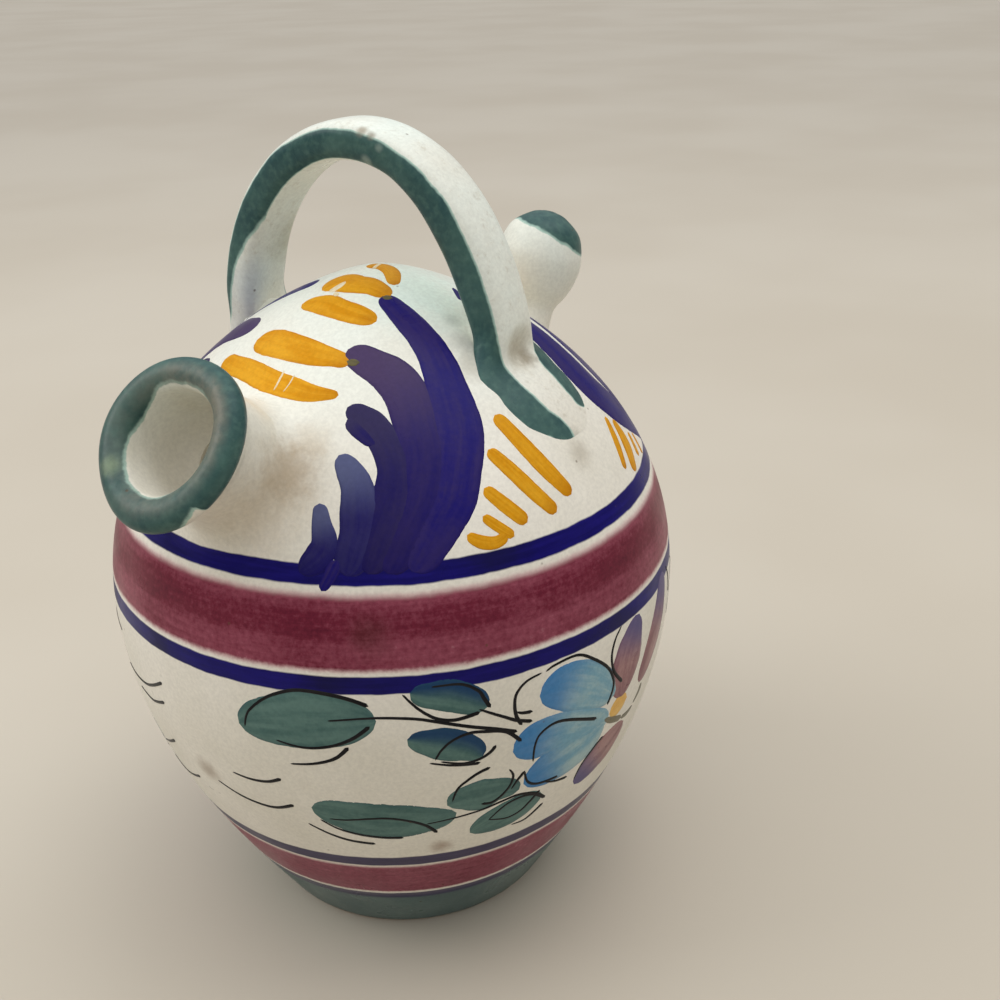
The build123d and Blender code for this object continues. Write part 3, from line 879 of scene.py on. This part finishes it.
def brush_tree():
    """Geometry nodes that press each line on the jug's faces and widen it by its own radius."""
    tree = bpy.data.node_groups.new("brush_stroke", "GeometryNodeTree")
    for name, kind in (
        ("Lines", "Geometry"), ("Body", "Object"), ("Neck foot", "Object"),
        ("Lift", "Float"), ("Layer", "Float"), ("Spacing", "Float"), ("Ragged", "Float"),
        ("Hairs", "Int"), ("Seed", "Float"), ("Paint", "Material"),
    ):
        tree.interface.new_socket(name, in_out="INPUT", socket_type="NodeSocket" + kind)
    tree.interface.new_socket("Strokes", in_out="OUTPUT", socket_type="NodeSocketGeometry")
    given = {socket.name: Wire(socket) for socket in tree.nodes.new("NodeGroupInput").outputs}

    def step(kind, sockets=None, output=0, **settings):
        return Wire(add_node(tree, "GeometryNode" + kind, sockets, **settings).outputs[output])

    def store(geometry, name, value, kind="FLOAT"):
        sockets = {"Geometry": geometry, "Name": name, "Value": value}
        return step("StoreNamedAttribute", sockets, data_type=kind, domain="POINT")

    def recall(name, kind="FLOAT"):
        return step("InputNamedAttribute", {"Name": name}, data_type=kind)

    def moved(place, direction, distance):
        way = from_node("ShaderNodeVectorMath", {0: direction, "Scale": distance}, operation="SCALE")
        return vector_calc("ADD", place, way)

    def touch(place, what):
        sockets = {"Mesh": Wire(jug.outputs[0]), "Value": step(what), "Sample Position": place}
        return step("SampleNearestSurface", sockets, "Value", data_type="FLOAT_VECTOR")

    jug = tree.nodes.new("GeometryNodeJoinGeometry")
    for name in ("Body", "Neck foot"):
        fill(jug, {0: step("ObjectInfo", {"Object": given[name]}, "Geometry", transform_space="RELATIVE")})

    # The line itself, pressed on the jug from outside
    smooth = step("CurveSplineType", {"Curve": given["Lines"]}, spline_type="CATMULL_ROM")
    even = step("ResampleCurve", {"Curve": smooth, "Length": given["Spacing"]}, mode="LENGTH")
    position = step("InputPosition")
    outside = moved(position, touch(position, "InputNormal"), PRESS_FROM)
    rail = step("SetPosition", {"Geometry": even, "Position": touch(outside, "InputPosition")})

    # What each point of the line hands on to its cross section
    up = touch(position, "InputNormal")
    side = vector_calc("NORMALIZE", vector_calc("CROSS_PRODUCT", up, step("InputTangent")))
    radius = calc("MAXIMUM", step("InputRadius"), 0.0001)
    share = step("SplineParameter", output="Factor")
    length = step("SplineLength", output="Length")
    ease = calc("MINIMUM", calc("MINIMUM", share, 1.0 - share) * length / radius, 1.0)
    half = calc("MAXIMUM", radius * calc("SQRT", ease * (2.0 - ease)), 0.00004)
    for name, value, kind in (
        ("spot", position, "FLOAT_VECTOR"), ("up", up, "FLOAT_VECTOR"), ("side", side, "FLOAT_VECTOR"),
        ("half", half, "FLOAT"), ("along", share * length, "FLOAT"), ("share", share, "FLOAT"),
        ("stroke", step("CurveOfPoint", output="Curve Index"), "FLOAT"), ("tone", recall("tilt"), "FLOAT"),
    ):
        rail = store(rail, name, value, kind)

    # Cross section: a row of hairs over the top and back underneath
    hair = step("InputIndex") / given["Hairs"] * (2 * pi)
    section = step("CurvePrimitiveCircle", {"Resolution": given["Hairs"], "Radius": 1.0})
    section = store(section, "across", calc("COSINE", hair))
    section = store(section, "top", calc("GREATER_THAN", calc("SINE", hair), 0.01))
    film = step("CurveToMesh", {"Curve": rail, "Profile Curve": section, "Fill Caps": True})

    # Each point of the film goes to its own place on the jug
    across, spot = recall("across"), recall("spot", "FLOAT_VECTOR")
    sway = drift(vector_calc("ADD", spot, given["Seed"]), 260.0) * given["Ragged"]
    over = moved(spot, recall("side", "FLOAT_VECTOR"), across * (recall("half") * (sway + 1.0)))
    over = moved(over, recall("up", "FLOAT_VECTOR"), PRESS_FROM)
    bulge = 1.0 - calc("POWER", calc("ABSOLUTE", across), 4.0)
    rise = bulge * given["Lift"] - FILM_EDGE + recall("stroke") * given["Layer"]
    rise = recall("top") * (rise + FILM_DEPTH) - FILM_DEPTH
    landed = moved(touch(over, "InputPosition"), touch(over, "InputNormal"), rise)
    film = step("SetPosition", {"Geometry": film, "Position": landed})
    film = step("SetShadeSmooth", {"Geometry": film})
    film = step("RealizeInstances", {"Geometry": film})
    film = step("SetMaterial", {"Geometry": film, "Material": given["Paint"]})
    fill(tree.nodes.new("NodeGroupOutput"), {0: film})
    return tree


BRUSH = brush_tree()
body_outline = [(belly_radius_at(h), h) for h in outer_heights[::-1]] + [*outer_dome[1:]]
body_canvas = skin("body_canvas", turned([(0.0, FOOT_EDGE), *body_outline]), PAINTED_BODY)
neck_canvas = skin("neck_canvas", flare_rings(MOUTH_ROOT, MOUTH_AXIS, *MOUTH_FLARE)[0], PAINTED_BODY)


def paint(
    name, colour, lines, where, lift=0.05, layer=0.002, spacing=0.8, ragged=0.1, hairs=18, seed=0.0,
    past=0.4, tones=(0,),
):
    """Strokes of one colour: each line is a row of turns, distances and half widths in millimetres."""
    curve = bpy.data.curves.new(name, "CURVE")
    curve.dimensions = "3D"
    for index, line in enumerate(lines):
        spots = np.array([where(azimuth, distance) for azimuth, distance, half in line])
        for end, inner in ((0, 1), (-1, -2)):
            away = spots[end] - spots[inner]
            spots[end] = spots[end] + past * line[end][2] * away / np.linalg.norm(away)
        spline = curve.splines.new("POLY")
        spline.points.add(len(line) - 1)
        for point, spot, (azimuth, distance, half) in zip(spline.points, spots, line):
            point.co = (*(spot * MM), 1.0)
            point.radius = half * MM
            point.tilt = tones[index % len(tones)]
    guide = in_scene(name + "_lines", curve)
    brush = guide.modifiers.new("brush", "NODES")
    brush.node_group = BRUSH
    values = {
        "Body": body_canvas, "Neck foot": neck_canvas, "Lift": lift * MM, "Layer": layer * MM,
        "Spacing": spacing * MM, "Ragged": ragged, "Hairs": hairs, "Seed": seed, "Paint": colour,
    }
    for socket in BRUSH.interface.items_tree:
        if socket.name in values:
            brush[socket.identifier] = values[socket.name]
    mesh = baked(guide)
    mesh.name = name
    for label in ("spot", "side", "up", "top", "tilt"):
        if label in mesh.attributes:
            mesh.attributes.remove(mesh.attributes[label])
    bpy.data.objects.remove(guide)
    piece = in_scene(name, mesh)
    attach(piece, "root")


def streaks_group():
    """Marks that a brush's hairs leave along a stroke, and the colour that pools at its edge and its end."""
    tree, fineness, length = shader_group("brush_streaks", {"Fineness": "Float", "Length": "Float"})
    across, along, share, stroke, tone = (
        field(tree, name) for name in ("across", "along", "share", "stroke", "tone")
    )
    hairs = from_node("ShaderNodeCombineXYZ", {0: across * fineness, 1: along * length, 2: stroke * 7.31})
    return close_group(tree, {
        "Streaks": noise(hairs, 1.0, 3, 0.6),
        "Edge": span(calc("ABSOLUTE", across), 0.72, 1.0),
        "End": span(share, 0.7, 1.0),
        "Share": share,
        "Shade": tone * span(across, -0.45, 0.6),
    })


STREAKS = streaks_group()


def stroke_material(
    name, thin, full, deep, fineness=2.0, length=60.0, edge=0.4, end=0.3, begin=None, shade=None, gloss=0.2
):
    """Brush colour that goes from thin to full along the hairs, with grains, and deeper where it pools."""
    material, place = new_material(name)
    marks = use_group(place.tree, STREAKS, {"Fineness": fineness, "Length": length})
    load = marks["Streaks"] * 0.7 + noise(place, 560, 4, 0.7) * 0.3 + drift(place, 48, 2) * 0.5
    colour = mix(span(load, 0.34, 0.66), screen(*full), screen(*thin))
    if begin:
        colour = mix(span(marks["Share"], 0.1, 0.6, 0.85, 0.0), colour, screen(*begin))
    if shade:
        colour = mix(marks["Shade"] * 0.9, colour, screen(*shade))
    pooled = calc("MAXIMUM", marks["Edge"] * edge, marks["End"] * end)
    pooled = pooled * span(noise(place, 160, 2), 0.3, 0.65, 0.35, 1.0)
    glazed(place, mix(pooled, colour, screen(*deep)), gloss=gloss)
    return material


def mirrored(lines, about=0.0):
    """The same strokes on the other side of a turn."""
    return [[(2 * about - turn, *rest) for turn, *rest in line] for line in lines]


def turned_by(lines, angle):
    """The same strokes, turned round the jug."""
    return [[(turn + angle, *rest) for turn, *rest in line] for line in lines]


# Feathered blue leaves on the shoulder: curved strokes that rise from the blue ring and spread upward.
# Each row of a stroke is a turn, a distance from the crown and a half width.
FEATHER = [
    [(-135, 21, 3), (-127, 29, 4.7), (-122, 39, 5.4), (-121, 48, 6), (-122, 58, 7), (-123, 69, 7.8),
     (-126, 79, 7.6), (-129, 88, 7.4), (-133, 95, 6.8), (-137, 102.5, 5.4)],
    [(-152, 42.4, 4.3), (-147, 45, 5.6), (-139, 50, 6.8), (-135, 57, 7), (-134, 67, 6.8), (-134, 76, 7.2),
     (-136, 86, 7.2), (-139, 94, 6.4), (-142, 102.5, 5)],
    [(-151.4, 64.6, 1.8), (-150, 66, 2.4), (-148, 68, 2.4), (-146, 70, 2)],
    [(-151, 61, 2.6), (-148, 63, 4), (-145, 66, 4.6), (-142, 72, 4.7), (-140.5, 79, 5.2), (-141.5, 87, 6.2),
     (-144, 95, 6), (-146, 102.5, 4.6)],
    [(-152.6, 75.6, 2.4), (-151, 78.2, 3.9), (-149, 83, 4.8), (-148.3, 90, 5.8), (-148.6, 96, 5.6),
     (-150, 102.5, 5.2)],
    [(-156.6, 89, 1.9), (-156, 93, 3), (-155.2, 98, 3.9), (-156.4, 102, 4.2), (-158.5, 104.6, 2.6)],
]
DRIP = [[(-153, 104, 2.2), (-154, 107, 1.9), (-155, 109.6, 1.3)]]
SPOUT_FEATHER = [
    [(-51, 34, 3.4), (-56, 43, 6), (-61.5, 54, 8.4), (-65, 64, 9.6), (-66.5, 73, 10.2), (-65, 81, 9.8),
     (-61, 89, 8.6), (-55, 98, 6.4), (-50, 104, 4.4)],
    [(-38, 48, 3), (-41.5, 56, 5.2), (-46.5, 66, 7.2), (-50, 76, 7.4), (-50, 85, 7.2), (-47, 94, 6),
     (-43, 103, 3.8)],
    [(-32, 64, 2.4), (-36, 71, 4.2), (-39, 80, 4.8), (-39.5, 89, 4.6), (-38, 97, 4), (-36, 104, 2.8)],
    [(-30, 80, 2.2), (-32, 87, 3.8), (-32, 95, 4), (-30, 103, 3)],
    [(-67, 24.4, 0.7), (-71, 25.8, 1.1), (-75, 27.2, 1.2), (-78, 28.4, 1)],
]
BACK_LEAF_TURN = -15


def with_twin(strokes):
    """The strokes on the front of the mouth's side, and their twins on its far side."""
    return strokes + turned_by(mirrored(strokes), BACK_LEAF_TURN)


FEATHER_BRUSH = {"fineness": 2.4, "length": 26.0, "gloss": 0.08}
DEEP_BLUE = (15, 10, 70)
cobalt = stroke_material(
    "cobalt_stroke", (46, 36, 94), (25, 18, 100), (15, 10, 78), 2.6, 26.0, end=0.2, gloss=0.08
)
violet_blue, navy_blue, slate_blue = (
    stroke_material(name, thin, full, DEEP_BLUE, begin=begin, **FEATHER_BRUSH)
    for name, thin, full, begin in (
        ("violet_stroke", (42, 32, 88), (27, 19, 90), (74, 58, 90)),
        ("navy_stroke", (42, 34, 82), (27, 20, 84), (50, 44, 78)),
        # The slate strokes' pale start is partly a paler slate tint and partly painted sheen
        ("slate_stroke", (44, 40, 92), (28, 22, 90), (90, 96, 130)),
    )
)
blue_strokes = with_twin(FEATHER[:1]) + SPOUT_FEATHER + mirrored(SPOUT_FEATHER) + DRIP
for name, colour, strokes, lift, seed in (
    ("blue_feathers", cobalt, blue_strokes, 0.07, 1.0),
    ("violet_feathers", violet_blue, with_twin(FEATHER[1:2]), 0.085, 1.3),
    ("navy_feathers", navy_blue, with_twin(FEATHER[2:4]), 0.092, 1.5),
    ("slate_feathers", slate_blue, with_twin(FEATHER[4:]), 0.1, 1.6),
):
    paint(name, colour, strokes, on_shoulder, lift=lift, spacing=0.6, seed=seed, past=0.8)

# Ochre ladders: short bars between the leaves, over the mouth and the spout, and the bars by the handle.
# Small dark marks lie where an ochre bar ran over blue, and pale chips where the paint is worn off.
LADDER = [
    [(149, 54, 2.9), (156, 53.6, 3.7), (164, 53, 3.9), (177, 54, 4), (187, 55, 3.8), (195, 56, 3),
     (203, 56, 1.3)],
    [(158, 43, 4.4), (166, 42, 5.5), (179, 42, 5.2), (191, 43, 4.4), (200, 44, 3.2), (204, 45, 2.4)],
    [(158, 26, 2.5), (172, 24, 4.6), (189, 25, 4.5), (204, 27, 4.2), (213, 29, 2.8)],
    [(156, 17, 3.9), (160, 14, 5.4), (187, 13, 5), (211, 14, 4.4), (225, 18, 2.8)],
    [(144, 2, 2.5), (264, 2, 3.3), (255, 7, 3.1), (239, 13, 1.9)],
]
HANDLE_BARS = [
    [(-111, 69, 2.4), (-108, 78, 2.9), (-105, 87, 3.1), (-102, 95, 2.3)],
    [(-117, 78, 2.1), (-113.5, 85, 2.6), (-110.4, 92, 2.6), (-107.5, 98, 2.2)],
    [(-121, 88, 1.9), (-118, 93, 2.4), (-115, 98, 2.2)],
    [(-123, 95, 1.4), (-121, 97.8, 1.7), (-118.5, 101, 1.5)],
    [(-127, 99, 1.4), (-125, 101, 2), (-122, 102, 1.9), (-120, 101, 1.5)],
]
SPOUT_BARS = [
    [(-74, 85, 1.2), (-77, 92, 1.9), (-80, 99, 1.3)],
    [(-71, 88, 1.6), (-72.5, 95, 3.2), (-76, 102, 1.8)],
    [(-67, 95, 1.2), (-69, 101, 1.5)],
    [(-64, 97, 1), (-65, 103, 1.2)],
]
OVERLAPS = [
    [(-155, 44.8, 1.2), (-153, 45.2, 1.5), (-151, 45.2, 1)],
    [(-138, 19.4, 1), (-134, 19.8, 1.3), (-131, 20.2, 0.8)],
]
CHIPS = [
    [(-179, 50.2, 0.3), (-178.6, 53, 0.4), (-178, 56.6, 0.25)],
    [(-174, 51, 0.2), (-174, 53.6, 0.25), (-174.4, 56.6, 0.15)],
    [(166, 18.4, 1.1), (168, 15.4, 1.5), (168, 13, 0.7)],
    [(173, 18.6, 0.8), (178, 19.4, 0.9)],
    [(-161, 3.2, 0.8), (-13, 1.2, 0.8)],
]
ochre = stroke_material(
    "ochre_stroke", (216, 156, 34), (202, 136, 12), (160, 90, 12), 2.5, 40.0, 0.45, 0.45, gloss=0.05
)
back_bars = turned_by(mirrored(HANDLE_BARS[2:]), BACK_LEAF_TURN)
bars = LADDER + mirrored(LADDER[:2], 90) + HANDLE_BARS + back_bars + SPOUT_BARS + mirrored(SPOUT_BARS)
paint("ochre_bars", ochre, bars, on_shoulder, lift=0.07, spacing=0.6, seed=2.0, past=0.6)
umber = stroke_material("umber_overlap", (96, 88, 52), (78, 72, 46), (52, 46, 38), edge=0.3)
paint("overlap_marks", umber, OVERLAPS, on_shoulder, lift=0.17, seed=9.0)
worn = stroke_material("worn_glaze", (228, 216, 186), (216, 198, 158), (206, 176, 110), edge=0.5)
paint("paint_chips", worn, CHIPS, on_shoulder, lift=0.15, spacing=0.4, ragged=0.3, seed=10.0)

# Flower sprays on the belly: a flower at the front and one at the back, with leaves and stems to both sides.
# Each row of a stroke is a turn, a height and a half width. The pen lines get their widths from tapered.
FLOWER_TURN = -82
BACK_TURN = 158
LEAVES = [
    [(-171, 106, 5), (-167, 108, 8), (-160, 110, 10.2), (-153, 111, 9), (-148, 111, 5)],
    [(-160, 76, 4.4), (-157, 75, 6.8), (-150, 72, 9.2), (-143, 71, 8.6), (-137, 71, 6), (-134, 72, 3.4)],
    [(-140, 119, 3), (-138, 118, 4.2), (-134, 117, 5.5), (-130, 114, 4.9), (-128, 112, 3.2)],
    [(-141, 104, 3), (-139, 103, 4.6), (-135, 101, 6.2), (-131, 98, 5), (-129, 95, 3.2)],
    [(-134, 77, 4), (-132, 78, 6), (-128, 78, 7.4), (-124, 78, 5.5), (-121, 76, 3.2)],
    [(-129, 61, 3.4), (-126, 63, 6.4), (-122, 65, 7.7), (-118, 67, 7), (-115, 68, 4)],
]
BLUE_PETALS = [
    [(-116, 109.6, 5.6), (-112.4, 109.4, 8.2), (-108, 106.8, 9.1), (-103, 102, 7.6), (-99, 97, 4.4)],
    [(-121, 93, 6.2), (-117, 94, 8.1), (-111, 93, 7.8), (-105, 90, 6.8), (-100, 87, 4.6)],
    [(-118, 78, 5.6), (-114, 80, 8.6), (-109, 82, 10), (-104, 84, 9), (-101, 86, 5)],
]
MAUVE_PETALS = [
    [(-91, 117, 3.6), (-92.6, 113, 6.4), (-94, 108, 8.6), (-95, 101, 8.6), (-95, 94, 4.6)],
    [(-78, 121, 3.6), (-79, 114, 6), (-81, 106, 7.4), (-84, 99, 6.6), (-87, 92, 4)],
    [(-103, 65, 5.3), (-100, 69, 8), (-96, 73, 9), (-92, 77, 6)],
]
HEART = [[(-98.6, 88.8, 3.4), (-95.6, 89.6, 4.6), (-92.6, 89.8, 3.2)]]
HEART_MARKS = [
    [(-100, 88, 0.8), (-97, 85, 1.4), (-93, 82, 1.2)],
    [(-93, 82, 0.8), (-90, 81, 1.3), (-88, 82, 0.8)],
    [(-88, 83, 0.8), (-86, 86, 1.3), (-86, 89, 0.9)],
]
OUTER_LINES = [
    [(-171, 105), (-170, 110), (-167, 115), (-164, 118), (-160, 120), (-155, 119.5), (-151, 118),
     (-148, 116)],
    [(-165, 102.3), (-160, 101), (-155, 102.3), (-151, 105.3), (-148, 109.3)],
    [(-163, 94.2), (-158.5, 95.4), (-154.5, 98), (-152, 102)],
    [(-177, 84), (-173, 83.6), (-169, 84.6), (-166, 87)],
    [(-183, 76), (-178, 73.4), (-173, 72.4), (-169, 73), (-165, 76)],
    [(-163, 68), (-159, 64), (-155, 61.4), (-150, 60)],
]
STEMS = [
    [(-155, 111), (-149, 112), (-145, 112), (-140, 111), (-136, 109), (-131, 106), (-126, 103), (-122, 100)],
    [(-158, 72), (-155, 72), (-150, 73), (-146, 73), (-142, 71), (-139, 68), (-137, 64)],
    [(-160, 71), (-157, 67.4), (-153, 65), (-148, 63.4), (-144, 63)],
    [(-139, 69), (-133, 70), (-128, 71), (-124, 72.4), (-120, 73), (-116, 70.4), (-113, 66)],
    [(-142, 119), (-140, 115), (-138, 112), (-136, 110), (-133, 109), (-129, 110)],
    [(-137, 120.5), (-132, 120), (-129, 117), (-128, 114), (-127, 111)],
    [(-129, 111), (-127, 109), (-124, 106), (-122, 104), (-119, 102)],
    [(-117, 117), (-120, 116), (-122, 113), (-122.4, 109), (-122, 105), (-121, 102)],
    [(-122, 107), (-121, 106), (-119, 105.4)],
    [(-137, 96), (-136, 99), (-134, 102), (-131, 103.6), (-128, 103), (-124, 101), (-121, 96)],
    [(-138, 95), (-134, 93), (-130, 92), (-129, 92)],
    [(-136, 95), (-132, 93), (-129, 93.4), (-127, 95), (-126, 97)],
    [(-134, 78), (-133, 83), (-131, 86), (-129, 88), (-127, 89)],
    [(-123, 86), (-122, 83), (-122.4, 79), (-124, 75.4), (-126, 73.4), (-128, 74)],
    [(-122, 77), (-121, 80), (-119.6, 83)],
    [(-119.6, 83), (-118.6, 78), (-116, 75), (-111, 74)],
    [(-126, 65), (-124, 68.4), (-122, 70.6), (-119, 71.4), (-116, 70), (-113, 66)],
    [(-126, 65), (-122, 63), (-119, 64), (-117, 67), (-115, 71)],
    [(-120, 58), (-117, 58), (-115, 60), (-113, 63)],
    [(-116, 117), (-114, 118), (-109, 118), (-105, 114), (-101, 108), (-99, 102), (-99, 98), (-100, 94)],
    [(-118, 86), (-118, 92), (-117, 96), (-114, 98), (-110, 96.4), (-103, 91)],
    [(-114, 74), (-111, 72), (-108, 71)],
    [(-97, 119), (-99, 116), (-100, 111), (-99, 105), (-96, 99)],
    [(-105, 67), (-104, 73), (-101, 78), (-99, 80)],
]
TAIL_TICKS = [
    [(150, 100), (154, 99.6), (160, 101), (164, 103.6), (168, 107.4)],
    [(156, 96.4), (161, 96), (164, 97.4), (167, 99.6)],
    [(157, 76), (161, 79), (165, 83)],
    [(154, 66), (161, 66), (166, 68.6), (169, 71)],
    [(-74, 121), (-72, 116), (-71, 110)],
]


def tapered(lines, half=0.7):
    """Pen-like lines that start thin and end blunt."""
    shaped = []
    for line in lines:
        shares = np.linspace(0, 1, len(line))
        shaped.append([(*point, half * (0.48 + 0.62 * s**0.7)) for point, s in zip(line, shares)])
    return shaped


def at_back_too(strokes):
    """The strokes, and the same at the back of the jug."""
    return strokes + turned_by(strokes, BACK_TURN)


def both_sides(inner, outer=()):
    """Strokes of a spray, mirrored about its flower, and the inner ones again at the back of the jug."""
    front = inner + mirrored(inner, FLOWER_TURN)
    return front + [*outer] + mirrored(outer, FLOWER_TURN) + turned_by(front, BACK_TURN)


leaf_green = stroke_material(
    "leaf_green", (94, 124, 117), (70, 101, 97), (42, 74, 82), 2.4, 30.0, 0.5, shade=(20, 56, 96), gloss=0.1
)
sky_blue = stroke_material(
    "sky_blue", (162, 188, 190), (118, 162, 180), (48, 108, 162), 3.0, 50.0, end=0.0,
    begin=(46, 116, 176), gloss=0.1,
)
mauve = stroke_material(
    "mauve_petal", (166, 128, 126), (132, 88, 94), (98, 60, 74), 3.0, 50.0, end=0.2,
    begin=(74, 76, 126), gloss=0.1,
)
yellow = stroke_material("yellow_heart", (230, 186, 100), (220, 168, 74), (176, 124, 56), edge=0.3, end=0.2)
olive = stroke_material("olive_mark", (120, 114, 92), (98, 96, 78), (64, 64, 54), edge=0.3)
black = stroke_material("dark_line", (34, 32, 34), (17, 17, 20), (10, 10, 12), 1.5, 60.0, 0.2, 0.6, gloss=0.1)
leaves = both_sides(LEAVES[1:], LEAVES[:1])
paint("spray_leaves", leaf_green, leaves, on_belly, layer=0.001, seed=3.0, ragged=0.14, tones=(0, 1, 1, 0, 0))
for name, colour, strokes, seed in (
    ("blue_petals", sky_blue, both_sides(BLUE_PETALS), 4.0),
    ("mauve_petals", mauve, at_back_too(MAUVE_PETALS), 5.0),
):
    paint(name, colour, strokes, on_belly, lift=0.06, layer=0.001, seed=seed)
paint("flower_hearts", yellow, at_back_too(HEART), on_belly, lift=0.08, seed=6.0, past=0.0)
paint("heart_marks", olive, at_back_too(HEART_MARKS), on_belly, lift=0.1, seed=7.0, past=0.0)
pen_lines = both_sides(tapered(STEMS), tapered(OUTER_LINES)) + tapered(TAIL_TICKS, 0.6)
paint("dark_stems", black, pen_lines, on_belly, 0.12, 0.0005, spacing=0.7, hairs=10, seed=8.0, past=0.3)

for canvas in (body_canvas, neck_canvas):
    bpy.data.objects.remove(canvas)

# Ground: a plain pale floor that catches the soft shadow. It is only a stage and no part of the jug.
# The room's light comes from above and from the left.
FLOOR_HALF = 18


def floor_material():
    """Plain pale stone."""
    material, place = new_material("pale_ground")
    colour = mix(span(noise(place, 2.5, 3), 0.3, 0.7), screen(190, 182, 167), screen(184, 175, 159))
    shaded(place, {"Base Color": colour, "Roughness": 0.6})
    return material


corners = [(x * FLOOR_HALF, y * FLOOR_HALF, 0) for x, y in ((-1, -1), (1, -1), (1, 1), (-1, 1))]
ground_mesh = bpy.data.meshes.new("ground")
ground_mesh.from_pydata(corners, [], [(0, 1, 2, 3)])
ground_mesh.materials.append(floor_material())
in_scene("ground", ground_mesh)


def lamp(name, place, aim, size, power, tint):
    """Square soft light."""
    light = bpy.data.lights.new(name, "AREA")
    light.size, light.energy, light.color = size, power, tint
    stand = in_scene(name, light)
    stand.location = place
    stand.rotation_mode = "QUATERNION"
    stand.rotation_quaternion = (Vector(aim) - Vector(place)).to_track_quat("-Z", "Y")


lamp("window_left", (-0.7, 1.0, 1.1), (0, 0, 0.12), 0.8, 7.0, (1.0, 1.0, 0.99))
lamp("ceiling", (0.4, -0.4, 1.6), (0, 0, 0.1), 1.1, 6.0, (1.0, 0.99, 0.96))
world = bpy.data.worlds.new("room_light")
world.use_nodes = True
upward = height_of(Wire(add_node(world.node_tree, "ShaderNodeTexCoord").outputs["Generated"]))
overhead = calc("POWER", calc("MAXIMUM", upward, 0.0), 1.5)
strength = calc("MULTIPLY_ADD", overhead, 1.5, 0.13)
fill(world.node_tree.nodes["Background"], {"Color": (0.99, 0.99, 1.0, 1.0), "Strength": strength})
bpy.context.scene.world = world

# Camera: over the mouth's side of the jug, at the height of a person who kneels.
HEADING, PITCH, ROLL = radians(33.0), radians(25.21), radians(1.45)
CAMERA_PLACE = (-0.28142, -0.22475, 0.30177)
forward = Vector((cos(PITCH) * cos(HEADING), cos(PITCH) * sin(HEADING), -sin(PITCH)))
right = Vector((sin(HEADING), -cos(HEADING), 0.0))
down = forward.cross(right)
tilted_right = cos(ROLL) * right + sin(ROLL) * down
tilted_down = -sin(ROLL) * right + cos(ROLL) * down
lens = bpy.data.cameras.new("camera")
lens.sensor_width, lens.lens, lens.clip_start = 36.0, 43.3, 0.01
camera = in_scene("camera", lens)
camera.rotation_mode = "QUATERNION"
camera.rotation_quaternion = Matrix((tilted_right, -tilted_down, -forward)).transposed().to_quaternion()
camera.location = CAMERA_PLACE
scene = bpy.context.scene
scene.camera = camera
scene.view_settings.view_transform = "Standard"
